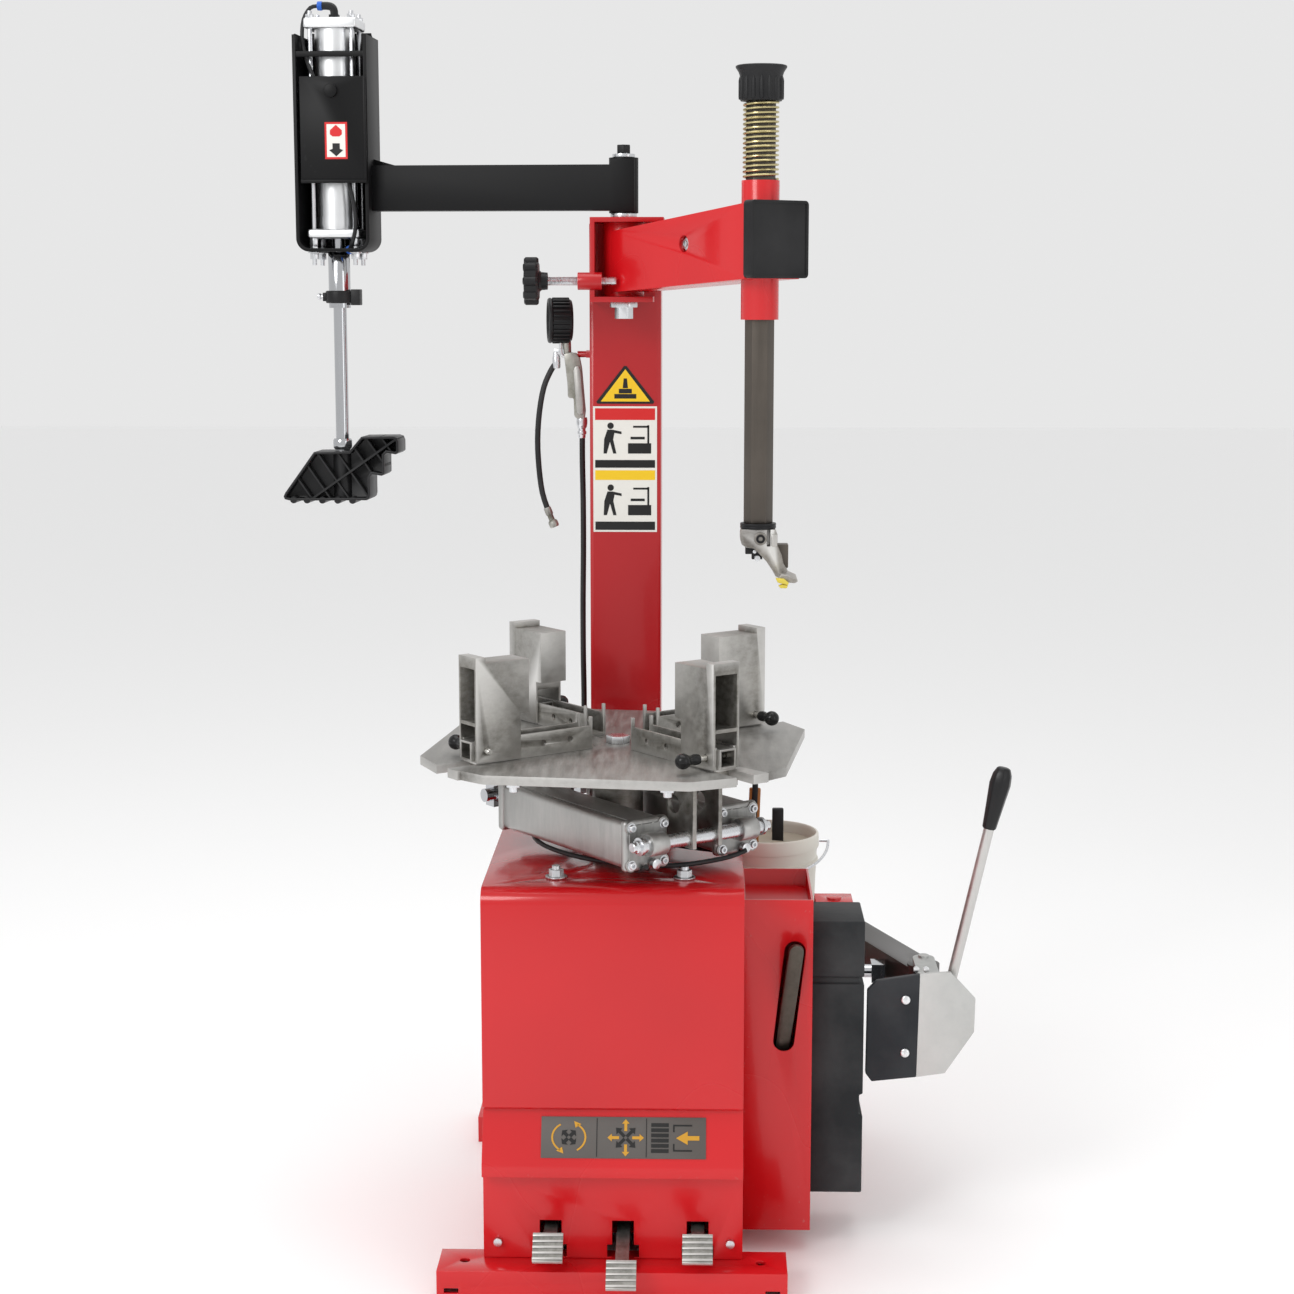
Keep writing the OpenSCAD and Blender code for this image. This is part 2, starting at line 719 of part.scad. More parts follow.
module press_beam() {
    color(black) press_place() difference() {
        union() {
            bar_z(1481, 1562.5, 0, 0, 22);
            block([-18, 18], [-22, 22], [1483, 1560]);
            block([0, 379], [-22, 22], [1485, 1552]);
            along_y(-3, 3) polygon([[340, 1551], [379, 1551], [379, 1562]]);
        }
        bar_z(1470, 1570, 0, 0, bolt_r + fit);
        block([40, 374], [-18, 18], [1489, 1548]);
    }
}

module press_housing() {
    x = [379.1, 491];
    y = [-press_depth, press_depth];
    inner = [x[0] + 5, x[1] - 5];
    color(black) press_place() difference() {
        union() {
            block(x, y, [1444, 1752]);
            translate([0, 0, 1424]) block([x[0] + 20, x[1] - 20], y, [0, 21]);
            for (cx = [x[0] + 20, x[1] - 20]) bar_y(y[0], y[1], cx, 1444, 20);
        }
        block(inner, [y[0] + 5, y[1] + 1], [1444, 1753]);
        block([x[0] + 20, x[1] - 20], [y[0] + 5, y[1] + 1], [1429, 1446]);
        for (cx = [x[0] + 20, x[1] - 20]) bar_y(y[0] + 5, y[1] + 1, cx, 1444, 15);
        bar_z(1420, 1435, press_reach, 0, 24);
        for (sx = [-1, 1], sy = [-1, 1]) bar_z(1420, 1435, press_reach + sx * 28, sy * 28, 9);
        for (cx = x) bar_y(-60, 60, cx, 1752, 10);
    }
    color(black) press_place() block([x[0] + 0.5, x[1] - 0.5], [y[1] - 8, y[1] - 1], [1710, 1718]);
}

module press_cover() {
    color(black) press_place() {
        block([380, 480], [press_depth + 0.1, press_depth + 6], [1527, 1681]);
        bar_y(press_depth + 6, press_depth + 12, 432, 1660, 10);
    }
}

module press_cylinder() {
    low = 1442;
    high = 1735;
    color("#dfe2e4") press_place() translate([press_reach, 0, 0]) difference() {
        union() {
            bar_z(low, high, 0, 0, 33);
            block([-35, 35], [-35, 35], [low, low + 26]);
            block([-35, 35], [-35, 35], [high, 1766]);
            for (sx = [-1, 1], sy = [-1, 1]) {
                bar_z(low - 30, 1774, sx * 28, sy * 28, 4.5);
                hex_z(low - 20, low, sx * 28, sy * 28, 13);
            }
            bar_z(1765, 1784, 4, 0, 7);
            bar_x(-18, 14, 0, 1784, 7);
        }
        bar_z(low + 12, high - 2, 0, 0, 30);
        bar_z(low - 1, low + 13, 0, 0, 10 + fit);
    }
}

module press_rod() {
    color(bright) press_place() translate([press_reach, 0, 0]) {
        bar_z(1128, 1700, 0, 0, 10);
        bar_z(1660, 1700, 0, 0, 30 - gap);
        bar_z(1336, 1350, 0, 0, 14);
        block([-24, 24], [-13, 13], [1348, 1366]);
        bar_x(-38, -23, 0, 1357, 4);
    }
}

// Stepped foot, drawn from its axis outwards, with a grid of pockets in its front
module press_foot() {
    socket = 10.5;
    color(black) press_place() translate([press_reach, 0, 0]) difference() {
        union() {
            along_y(-30, 30) polygon([[88, 1050], [74, 1041], [-40, 1041], [-44, 1088], [-68, 1086],
                [-72, 1112], [-93, 1118], [-93, 1144], [-64, 1146], [-36, 1120], [46, 1120]]);
            bar_z(1110, 1139, 0, 0, 16);
        }
        bar_z(1120, 1145, 0, 0, socket);
        for (sx = [-1, 1], k = [0:1]) block([sx * (28 + 22 * k) - 8, sx * (28 + 22 * k) + 8], [16, 31],
            [1058 + (sx < 0 ? 8 + 26 * k : 0), 1072 + (sx < 0 ? 8 + 26 * k : 6)]);
    }
}

// ---- bead breaker ----

arm_lean = atan2(bead_front[1] - bead_pivot[1], bead_front[0] - bead_pivot[0]);
arm_len = norm(bead_front - bead_pivot);

module bead_arm() {
    color("#3b3a38") translate([bead_pivot[0], bead_pivot[1], 0]) rotate([0, 0, arm_lean]) difference() {
        union() {
            block([0, arm_len], [-24, 24], [bead_z - 24, bead_z + 24]);
            bar_z(pail_base + 0.4, 383.6, 0, 0, 28);
            bar_z(bead_z - 28, bead_z + 28, arm_len, 0, 24);
        }
        bar_z(280, 400, 0, 0, 12 + fit);
        bar_z(280, 400, arm_len, 0, 8 + fit);
        block([34, arm_len - 30], [-20, 20], [bead_z - 20, bead_z + 20]);
    }
}

module bead_blade() {
    low = bead_z - 37;
    high = bead_z + 29;
    color("#a7a9a6") {
        along_y(-50, -42) polygon([[431, 245], [472, 251], [513, 313], [514, 362], [478, 401], [434, 398]]);
        for (z = [low, high]) {
            block([bead_front[0] - 16, bead_front[0] + 16], [-43, bead_front[1]], [z, z + 8]);
            bar_z(z, z + 8, bead_front[0], bead_front[1], 16);
        }
        bar_z(low, high + 12, bead_front[0], bead_front[1], 8);
    }
}

module blade_guard() {
    color(black) {
        along_y(-51, -41) polygon([[430.9, 245], [433.9, 398], [372, 388],
            [359, 374], [358, 250], [367, 238]]);
        for (z = [282, 361]) bar_y(-54, -50.5, 414, z, 6);
    }
}

module blade_handle() {
    color(alloy) translate([480, -34.4, 384]) rotate([0, 12.4, 0]) {
        cylinder(h = 236, r = 7.5);
        translate([0, 0, 232]) cylinder(h = 62, r1 = 10, r2 = 15.5);
        translate([0, 0, 294]) cylinder(h = 27, r1 = 15.5, r2 = 9);
        translate([-7, -7.5, 0]) cube([14, 8, 14]);
    }
}

module tyre_lever() {
    reach = 372;
    color("#6c665e") translate([214.5, -32, 105]) rotate([15, 6.4, 0]) {
        translate([0, 0, 10]) block([-10.5, 10.5], [-4, 4], [0, reach - 20]);
        for (z = [10, reach - 10]) bar_y(-4, 4, 0, z, 10.5);
    }
}

// ---- lube pail ----

module bucket() {
    wall = 2.5;
    color("#e8e6df") translate([pail[0], pail[1], pail_base]) {
        difference() {
            union() {
                cylinder(h = pail_rim - pail_base, r1 = 72, r2 = 80);
                translate([0, 0, pail_rim - pail_base - 22]) cylinder(h = 22, r = 82.5);
                translate([0, 0, pail_rim - pail_base - 44]) cylinder(h = 6, r = 81.5);
            }
            translate([0, 0, wall]) cylinder(h = 300, r1 = 72 - wall, r2 = 83 - wall);
        }
    }
}

// Wire bail that rests on the pail's front wall
module bucket_bail() {
    wire = 2.2;
    span = 97;
    drop = 22;
    color("#3c3c3c") translate([pail[0], pail[1], bail_z]) rotate([drop, 0, 0]) {
        rotate([0, 0, 180]) rotate_extrude(angle = 180) translate([span, 0]) circle(wire);
        for (s = [-1, 1]) translate([s * 83.2, 0, 0]) rotate([0, s * 90, 0]) cylinder(h = 14, r = wire);
    }
}

base_frame();
cabinet_shell();
cabinet_screws();
control_plate();
side_housing();
bead_pad();
column();
pivot_bolt();
gearbox();
drive_motor();
drive_belt();
pedal_unit();
bead_cylinder();
pivot_bracket();
inflator_gun();
pressure_gauge();
tyre_hose();
feed_hose();
tyre_chuck();
table_plate();
table_spindle();
table_bolts();
worm_shaft();
motor_pulley();
jaw(jaw_turns[0], true);  // jaw_1
jaw(jaw_turns[1], false);  // jaw_2
jaw(jaw_turns[2], true);  // jaw_3
jaw(jaw_turns[3], false);  // jaw_4
lock_pin(jaw_turns[0]);  // lock_pin_1
lock_pin(jaw_turns[1]);  // lock_pin_2
lock_pin(jaw_turns[2]);  // lock_pin_3
lock_pin(jaw_turns[3]);  // lock_pin_4
clamp_cylinders();
clamp_rods();
swing_beam();
arm_end_cover();
shaft_spring();
hex_shaft();
shaft_cap();
mount_head();
head_insert();
stop_screw();
stop_knob();
press_beam();
press_housing();
press_cover();
press_cylinder();
press_rod();
press_foot();
pedal(pedal_x[0], -290, 83, 0);  // pedal_left
pedal(pedal_x[1], -306, 52, 11);  // pedal_middle
pedal(pedal_x[2], -290, 83, 0);  // pedal_right
bead_arm();
bead_blade();
blade_guard();
blade_handle();
bead_rod();
tyre_lever();
bucket();
bucket_bail();
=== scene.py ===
import json
import math

import bpy
from mathutils import Matrix, Vector

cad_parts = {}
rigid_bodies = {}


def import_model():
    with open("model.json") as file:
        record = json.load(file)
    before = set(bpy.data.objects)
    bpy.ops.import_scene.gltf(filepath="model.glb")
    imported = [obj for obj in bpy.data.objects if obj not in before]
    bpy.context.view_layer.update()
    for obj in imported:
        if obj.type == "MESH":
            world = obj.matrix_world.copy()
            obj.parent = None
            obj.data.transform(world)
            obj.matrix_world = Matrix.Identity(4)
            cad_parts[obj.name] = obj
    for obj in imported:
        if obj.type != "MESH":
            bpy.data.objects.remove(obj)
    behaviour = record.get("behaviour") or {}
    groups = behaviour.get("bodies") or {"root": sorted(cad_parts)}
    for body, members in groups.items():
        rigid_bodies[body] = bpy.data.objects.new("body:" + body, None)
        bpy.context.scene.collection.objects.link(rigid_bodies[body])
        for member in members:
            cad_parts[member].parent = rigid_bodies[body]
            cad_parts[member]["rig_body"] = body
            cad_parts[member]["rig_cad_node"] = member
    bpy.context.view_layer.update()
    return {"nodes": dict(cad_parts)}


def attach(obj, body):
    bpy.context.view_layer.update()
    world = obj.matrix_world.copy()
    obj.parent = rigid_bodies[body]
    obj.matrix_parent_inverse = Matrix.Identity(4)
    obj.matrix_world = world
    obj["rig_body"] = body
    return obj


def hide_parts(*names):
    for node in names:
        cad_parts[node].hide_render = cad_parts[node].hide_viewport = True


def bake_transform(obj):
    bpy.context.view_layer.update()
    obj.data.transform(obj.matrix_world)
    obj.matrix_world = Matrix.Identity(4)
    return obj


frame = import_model()
MM = 0.001

# Places that the whole machine is built around, in metres
PIVOT = Vector((0, 0.272, 0))
ARM_TURN = math.radians(-52.8)
ARM_REACH = 0.329
SHAFT = PIVOT + ARM_REACH * Vector((math.cos(ARM_TURN), math.sin(ARM_TURN), 0))
PRESS_TURN = math.radians(176.3)
PRESS_REACH = 0.436
PRESS = PIVOT + PRESS_REACH * Vector((math.cos(PRESS_TURN), math.sin(PRESS_TURN), 0))
TABLE_TURN = math.radians(-7.6)
JAW_TURNS = [TABLE_TURN + math.radians(a) for a in (-45, 45, 135, 225)]

# Places in millimetres
GUN_Y = 372
COLUMN_FRONT = 332
STOP = (0, 223, 1380)
PIN = (235, 0, 743)

HOSE_D = 0.009
TYRE_HOSE = [(-108, 372, 1264), (-110, 372, 1255), (-119, 372, 1240), (-129, 371, 1216), (-136, 370, 1178),
    (-139, 369, 1134), (-137, 368, 1090), (-132, 367, 1052), (-123, 366, 1024)]
FEED_HOSE = [(-69, 372, 1141), (-69, 372, 1100), (-68, 372, 1040), (-68, 373, 960), (-69, 374, 880),
    (-69, 374, 800), (-68, 373, 730), (-68, 372, 656.1)]


# ---------------------------------------------------------------- camera and light

def place_camera():
    data = bpy.data.cameras.new("camera")
    data.lens = 64.3
    data.sensor_width = 36
    data.clip_start = 0.1
    data.clip_end = 60
    camera = bpy.data.objects.new("camera", data)
    bpy.context.scene.collection.objects.link(camera)
    camera.location = (0.121, -3.2585, 1.367)
    look = Vector((-0.02408, 0.98798, -0.15267))
    camera.rotation_euler = look.to_track_quat("-Z", "Y").to_euler()
    bpy.context.scene.camera = camera


def soft_box(name, place, target, size, watts, colour=(1, 1, 1)):
    data = bpy.data.lights.new(name, "AREA")
    data.shape = "RECTANGLE"
    data.size, data.size_y = size
    data.energy = watts
    data.color = colour
    lamp = bpy.data.objects.new(name, data)
    bpy.context.scene.collection.objects.link(lamp)
    lamp.location = place
    direction = Vector(target) - Vector(place)
    lamp.rotation_euler = direction.to_track_quat("-Z", "Y").to_euler()


def light_studio():
    world = bpy.data.worlds.new("studio")
    world.use_nodes = True
    background = world.node_tree.nodes["Background"]
    background.inputs["Color"].default_value = (1, 1, 1, 1)
    background.inputs["Strength"].default_value = 0.8
    bpy.context.scene.world = world
    bpy.context.scene.view_settings.view_transform = "Standard"
    soft_box("key", (-2.2, -2.9, 2.9), (0, 0, 0.9), (1.6, 1.6), 60)
    soft_box("fill", (2.8, -2.4, 1.6), (0.1, 0, 0.8), (1.2, 2.2), 10)
    soft_box("overhead", (0, 0.2, 3.6), (0, 0, 0), (2.4, 2.4), 34)


def lay_floor():
    bpy.ops.mesh.primitive_plane_add(size=40, location=(0, 0, 0))
    floor = bpy.context.object
    floor.name = "floor"
    floor.data.materials.append(plain("floor_paint", (0.97, 0.97, 0.97), 0.6))


# ---------------------------------------------------------------- material parts

def shader(name):
    """A new material with its Principled shader and node tree."""
    made = bpy.data.materials.new(name)
    made.use_nodes = True
    tree = made.node_tree
    surface = tree.nodes["Principled BSDF"]
    return made, tree, surface


def coordinates(tree, scale=(1, 1, 1), turn=(0, 0, 0)):
    where = tree.nodes.new("ShaderNodeTexCoord")
    mapping = tree.nodes.new("ShaderNodeMapping")
    mapping.inputs["Scale"].default_value = scale
    mapping.inputs["Rotation"].default_value = turn
    tree.links.new(where.outputs["Object"], mapping.inputs["Vector"])
    return mapping.outputs["Vector"]


def noise(tree, vector, scale, detail=4, roughness=0.55):
    made = tree.nodes.new("ShaderNodeTexNoise")
    made.inputs["Scale"].default_value = scale
    made.inputs["Detail"].default_value = detail
    made.inputs["Roughness"].default_value = roughness
    tree.links.new(vector, made.inputs["Vector"])
    return made.outputs["Fac"]


def ramp(tree, factor, stops):
    made = tree.nodes.new("ShaderNodeValToRGB")
    tree.links.new(factor, made.inputs["Fac"])
    elements = made.color_ramp.elements
    while len(elements) < len(stops):
        elements.new(0.5)
    for element, (at, colour) in zip(elements, stops):
        element.position = at
        element.color = (*colour, 1) if len(colour) == 3 else colour
    return made.outputs["Color"]


def grey(value):
    return (value, value, value)


def blend_colour(tree, factor, first, second, mode="MIX"):
    made = tree.nodes.new("ShaderNodeMix")
    made.data_type = "RGBA"
    made.blend_type = mode
    if isinstance(factor, float):
        made.inputs["Factor"].default_value = factor
    else:
        tree.links.new(factor, made.inputs["Factor"])
    for socket, value in ((made.inputs[6], first), (made.inputs[7], second)):
        if isinstance(value, tuple):
            socket.default_value = (*value, 1)
        else:
            tree.links.new(value, socket)
    return made.outputs[2]


def bump(tree, surface, height, strength, distance):
    made = tree.nodes.new("ShaderNodeBump")
    made.inputs["Strength"].default_value = strength
    made.inputs["Distance"].default_value = distance
    tree.links.new(height, made.inputs["Height"])
    tree.links.new(made.outputs["Normal"], surface.inputs["Normal"])


def edges(tree, low=0.52, high=0.62):
    """White on convex edges, black elsewhere."""
    geometry = tree.nodes.new("ShaderNodeNewGeometry")
    return ramp(tree, geometry.outputs["Pointiness"], [(low, grey(0)), (high, grey(1))])


def plain(name, colour, rough):
    made, tree, surface = shader(name)
    surface.inputs["Base Color"].default_value = (*colour, 1)
    surface.inputs["Roughness"].default_value = rough
    return made


def gloss_paint(name, colour, rough=0.22, wear=(0.35, 0.3, 0.28), coat=0.3):
    """Sprayed enamel: faint orange peel, slight unevenness, thin rubbed edges."""
    made, tree, surface = shader(name)
    at = coordinates(tree)
    broad = noise(tree, at, 2.2, 2)
    fine = noise(tree, at, 55, 3)
    dark = tuple(c * 0.86 for c in colour)
    light = tuple(min(1, c * 1.06) for c in colour)
    body = ramp(tree, broad, [(0.3, dark), (0.7, light)])
    specks = ramp(tree, noise(tree, at, 140, 2), [(0.66, grey(0)), (0.72, grey(1))])
    rub = blend_colour(tree, specks, grey(0), edges(tree, 0.56, 0.68))
    surface_colour = blend_colour(tree, rub, body, wear)
    tree.links.new(surface_colour, surface.inputs["Base Color"])
    tree.links.new(ramp(tree, broad, [(0.3, grey(rough)), (0.8, grey(rough + 0.12))]),
        surface.inputs["Roughness"])
    surface.inputs["Coat Weight"].default_value = coat
    surface.inputs["Coat Roughness"].default_value = 0.08
    surface.inputs["Specular IOR Level"].default_value = 0.4 if coat else 0.2
    bump(tree, surface, fine, 0.05, 0.001)
    return made


def stained_steel_lit_edges(name, dark, light, rough=0.38, grain=(1, 1, 1), edge=(0.75, 0.74, 0.72)):
    """Bare metal: cloudy stains, fine drawn grain, and a painted highlight on every convex edge."""
    made, tree, surface = shader(name)
    at = coordinates(tree)
    drawn = coordinates(tree, grain)
    clouds = noise(tree, at, 9, 6, 0.62)
    body = ramp(tree, clouds, [(0.32, dark), (0.68, light)])
    streaks = noise(tree, drawn, 90, 5, 0.7)
    body = blend_colour(tree, 0.28, body, ramp(tree, streaks, [(0.3, dark), (0.7, edge)]))
    # Painted highlight: every convex edge is blended towards the light edge colour.
    body = blend_colour(tree, edges(tree), body, edge)
    tree.links.new(body, surface.inputs["Base Color"])
    surface.inputs["Metallic"].default_value = 0.9
    tree.links.new(ramp(tree, streaks, [(0.25, grey(rough - 0.1)), (0.75, grey(rough + 0.14))]),
        surface.inputs["Roughness"])
    bump(tree, surface, streaks, 0.12, 0.0006)
    return made


def moulded(name, colour, rough=0.45, grain=160, strength=0.2, dust=0.25):
    """Moulded plastic or rubber with a fine grain and a little dust."""
    made, tree, surface = shader(name)
    at = coordinates(tree)
    fine = noise(tree, at, grain, 3)
    cloud = noise(tree, at, 7, 5)
    pale = tuple(c + (0.22 - c) * dust for c in colour)
    tree.links.new(ramp(tree, cloud, [(0.4, colour), (0.75, pale)]), surface.inputs["Base Color"])
    tree.links.new(ramp(tree, cloud, [(0.3, grey(rough - 0.05)), (0.8, grey(rough + 0.12))]),
        surface.inputs["Roughness"])
    surface.inputs["Specular IOR Level"].default_value = 0.28
    bump(tree, surface, fine, strength, 0.0008)
    return made


def bright_metal(name, colour, rough=0.16):
    made, tree, surface = shader(name)
    at = coordinates(tree, (1, 1, 0.05))
    rings = noise(tree, at, 220, 3)
    surface.inputs["Metallic"].default_value = 1
    tree.links.new(ramp(tree, noise(tree, at, 18, 3), [(0.3, tuple(c * 0.86 for c in colour)),
        (0.7, colour)]), surface.inputs["Base Color"])
    tree.links.new(ramp(tree, rings, [(0.3, grey(max(0.02, rough - 0.06))), (0.7, grey(rough + 0.08))]),
        surface.inputs["Roughness"])
    return made


def make_materials():
    """Every finish on the machine, by the name that the pieces use."""
    return {"red": gloss_paint("red_enamel", (0.6, 0.006, 0.01)),
        "red_dark": gloss_paint("red_enamel_column", (0.46, 0.004, 0.008), 0.26),
        "black_paint": gloss_paint("black_satin_paint", (0.004, 0.004, 0.0045), 0.42, (0.05, 0.05, 0.05),
        0), "dark_paint": gloss_paint("bead_arm_paint", (0.045, 0.04, 0.036), 0.42, (0.16, 0.14, 0.12)),
        # The edge colours of the bare steel finishes are painted highlights on their convex edges.
        "table": stained_steel_lit_edges("table_steel", (0.1, 0.094, 0.083), (0.2, 0.19, 0.17), 0.48, (1, 0.12, 1)),
        "jaw": stained_steel_lit_edges("jaw_steel", (0.11, 0.103, 0.088), (0.27, 0.255, 0.225), 0.42, (0.3, 1, 1)),
        "hex": stained_steel_lit_edges("shaft_steel", (0.035, 0.029, 0.025), (0.09, 0.076, 0.064), 0.46, (1, 1, 0.06),
        (0.17, 0.15, 0.13)), "cast": stained_steel_lit_edges("cast_head_steel", (0.13, 0.115, 0.1), (0.36, 0.33, 0.29),
        0.46), "lever": stained_steel_lit_edges("lever_steel", (0.035, 0.029, 0.025), (0.09, 0.076, 0.062), 0.42,
        edge=(0.2, 0.18, 0.15)), "blade": stained_steel_lit_edges("blade_steel", (0.36, 0.37, 0.36), (0.52, 0.53, 0.52),
        0.5), "alloy": stained_steel_lit_edges("cylinder_alloy", (0.17, 0.17, 0.165), (0.33, 0.33, 0.32), 0.42,
        (1, 1, 0.2)), "pedal": stained_steel_lit_edges("pedal_alloy", (0.1, 0.095, 0.085), (0.28, 0.27, 0.24), 0.46),
        "zinc": bright_metal("zinc_plate", (0.72, 0.73, 0.75), 0.28), "chrome": bright_metal("chrome_rod",
        (0.56, 0.57, 0.59), 0.1), "yellow_zinc": bright_metal("spring_zinc", (0.6, 0.52, 0.27), 0.28),
        "white_barrel": bright_metal("pale_barrel", (0.88, 0.89, 0.9), 0.36), "pad": moulded("pad_rubber",
        (0.01, 0.012, 0.014), 0.55, 45, 0.6, 0.22), "plastic": moulded("black_plastic",
        (0.007, 0.007, 0.008), 0.42, 200, 0.12, 0.08), "guard": moulded("guard_plastic",
        (0.012, 0.014, 0.018), 0.42, 200, 0.1, 0.15), "hose": moulded("hose_rubber", (0.016, 0.016, 0.017),
        0.4, 120, 0.15, 0.1), "cast_iron": moulded("gearbox_casting", (0.06, 0.063, 0.066), 0.55, 60, 0.4,
        0.2), "plate": moulded("control_plate_grey", (0.1, 0.09, 0.082), 0.45, 220, 0.05, 0.15),
        "white_plastic": moulded("pail_plastic", (0.72, 0.69, 0.62), 0.4, 30, 0.05, 0.1),
        "yellow_plastic": moulded("insert_plastic", (0.75, 0.6, 0.06), 0.4),
        "foot": moulded("press_foot_plastic", (0.005, 0.005, 0.006), 0.36, 180, 0.1, 0.12),
        "gloss_black": moulded("knob_bakelite", (0.006, 0.006, 0.006), 0.16, 120, 0.03, 0.04),
        "grip": moulded("grip_plastic", (0.012, 0.012, 0.013), 0.34, 180, 0.12, 0.1),
        "gun": stained_steel_lit_edges("inflator_alloy", (0.09, 0.086, 0.06), (0.22, 0.21, 0.155), 0.46),
        "pin": bright_metal("pin_bar_steel", (0.7, 0.69, 0.66), 0.24),
        "white_zinc": bright_metal("guard_screw_zinc", (0.9, 0.91, 0.92), 0.3), "dial": moulded("dial_card",
        (0.62, 0.63, 0.6), 0.5, 120, 0.03, 0.05), "paste": moulded("lube_paste_beige", (0.42, 0.37, 0.29),
        0.55, 40, 0.5, 0.15), "brush_wood": moulded("varnished_stick", (0.36, 0.13, 0.03), 0.42, 60, 0.15,
        0.15), "blue": moulded("push_fit_blue", (0.02, 0.11, 0.5), 0.34, 160, 0.05, 0.05),
        "sign_yellow": moulded("sign_yellow_film", (0.85, 0.55, 0.02), 0.42, 160, 0.03, 0.03),
        "sign_white": moulded("sign_white_film", (0.78, 0.77, 0.72), 0.42, 160, 0.03, 0.05),
        "sign_red": moulded("sign_red_film", (0.62, 0.02, 0.02), 0.42, 160, 0.03, 0.03),
        "sign_black": moulded("sign_black_film", (0.012, 0.012, 0.012), 0.42, 160, 0.03, 0.05),
        "amber": moulded("pedal_mark_amber", (0.58, 0.3, 0.03), 0.42, 160, 0.03, 0.03),}


# ---------------------------------------------------------------- workshop methods


def at(x, y, z):
    """A place on the machine, in millimetres."""
    return Matrix.Translation(Vector((x, y, z)) * MM)


def clear_selection():
    if bpy.context.object and bpy.context.object.mode != "OBJECT":
        bpy.ops.object.mode_set(mode="OBJECT")
    bpy.ops.object.select_all(action="DESELECT")


def only(obj):
    """Selects one object and nothing else."""
    clear_selection()
    obj.select_set(True)
    bpy.context.view_layer.objects.active = obj


def moved(obj, matrix):
    """Carries a piece to its place on the machine and keeps the place in its mesh."""
    obj.matrix_world = matrix @ obj.matrix_world
    only(obj)
    bpy.ops.object.transform_apply(location=True, rotation=True, scale=True)
    return obj


def block(name, x, y, z):
    """A square blank between two corners, in millimetres."""
    low, high = Vector((x[0], y[0], z[0])) * MM, Vector((x[1], y[1], z[1])) * MM
    clear_selection()
    bpy.ops.mesh.primitive_cube_add(size=1, location=(low + high) / 2)
    piece = bpy.context.object
    piece.name = name
    piece.scale = high - low
    bpy.ops.object.transform_apply(location=True, rotation=True, scale=True)
    return piece


def rod(name, start, end, radius, end_radius=None, sides=32):
    """A round or six-sided bar between two points, in millimetres."""
    start, end = Vector(start) * MM, Vector(end) * MM
    along = end - start
    clear_selection()
    bpy.ops.mesh.primitive_cone_add(
        vertices=sides, radius1=radius * MM, radius2=(radius if end_radius is None else end_radius) * MM,
        depth=along.length, location=(start + end) / 2, rotation=along.to_track_quat("Z", "Y").to_euler())
    piece = bpy.context.object
    piece.name = name
    bpy.ops.object.transform_apply(location=True, rotation=True, scale=True)
    return piece


def draw_line(name, corners):
    """Pulls one point along a list of corners and leaves the line in edit mode."""
    clear_selection()
    bpy.ops.mesh.primitive_plane_add(size=0.001, location=corners[0])
    piece = bpy.context.object
    piece.name = name
    bpy.ops.object.transform_apply(location=True, rotation=True, scale=True)
    bpy.ops.object.mode_set(mode="EDIT")
    bpy.ops.mesh.select_mode(type="VERT")
    bpy.ops.mesh.select_all(action="SELECT")
    bpy.ops.mesh.merge(type="CENTER")
    for a, b in zip(corners, corners[1:]):
        bpy.ops.mesh.extrude_region_move(TRANSFORM_OT_translate={"value": b - a})
    bpy.ops.mesh.select_all(action="SELECT")
    return piece


def tidy_skin():
    bpy.ops.mesh.select_all(action="SELECT")
    bpy.ops.mesh.remove_doubles(threshold=0.000005)
    bpy.ops.mesh.normals_make_consistent(inside=False)
    bpy.ops.object.mode_set(mode="OBJECT")


def drawn(name, points, push):
    """A closed outline, drawn corner by corner, and its depth as a push, in millimetres."""
    piece = draw_line(name, [Vector(p) * MM for p in points])
    bpy.ops.mesh.edge_face_add()
    bpy.ops.mesh.extrude_region_move(TRANSFORM_OT_translate={"value": Vector(push) * MM})
    tidy_skin()
    return piece


def drawn_xz(name, points, y0, y1):
    return drawn(name, [(x, y0, z) for x, z in points], (0, y1 - y0, 0))


def turned(name, profile, centre, axis=(0, 0, 1), steps=40):
    """A round piece from its half profile: pairs of radius and distance along the axis."""
    axis = Vector(axis).normalized()
    side = axis.orthogonal().normalized()
    centre = Vector(centre)
    piece = draw_line(name, [(centre + side * r + axis * h) * MM for r, h in profile])
    bpy.ops.mesh.spin(steps=steps, angle=2 * math.pi, center=centre * MM, axis=axis)
    tidy_skin()
    return piece


def round_line(name, line, radius, sides):
    """A round line through places given in metres."""
    data = bpy.data.curves.new(name, "CURVE")
    data.dimensions = "3D"
    data.bevel_depth = radius
    data.bevel_resolution = sides
    data.use_fill_caps = True
    spline = data.splines.new("POLY")
    spline.points.add(len(line) - 1)
    for point, place in zip(spline.points, line):
        point.co = (*place, 1)
    piece = bpy.data.objects.new(name, data)
    bpy.context.scene.collection.objects.link(piece)
    return piece


def bent(name, points, radius, sides=3, smooth=True):
    """A wire or tube along a list of points, in millimetres."""
    line = route(points) if smooth else [Vector(p) * MM for p in points]
    piece = round_line(name, line, radius * MM, sides)
    only(piece)
    bpy.ops.object.convert(target="MESH")
    bpy.ops.object.mode_set(mode="EDIT")
    tidy_skin()
    return bpy.context.object


def joined(name, pieces):
    clear_selection()
    for piece in pieces:
        piece.select_set(True)
    bpy.context.view_layer.objects.active = pieces[0]
    bpy.ops.object.join()
    pieces[0].name = name
    return pieces[0]


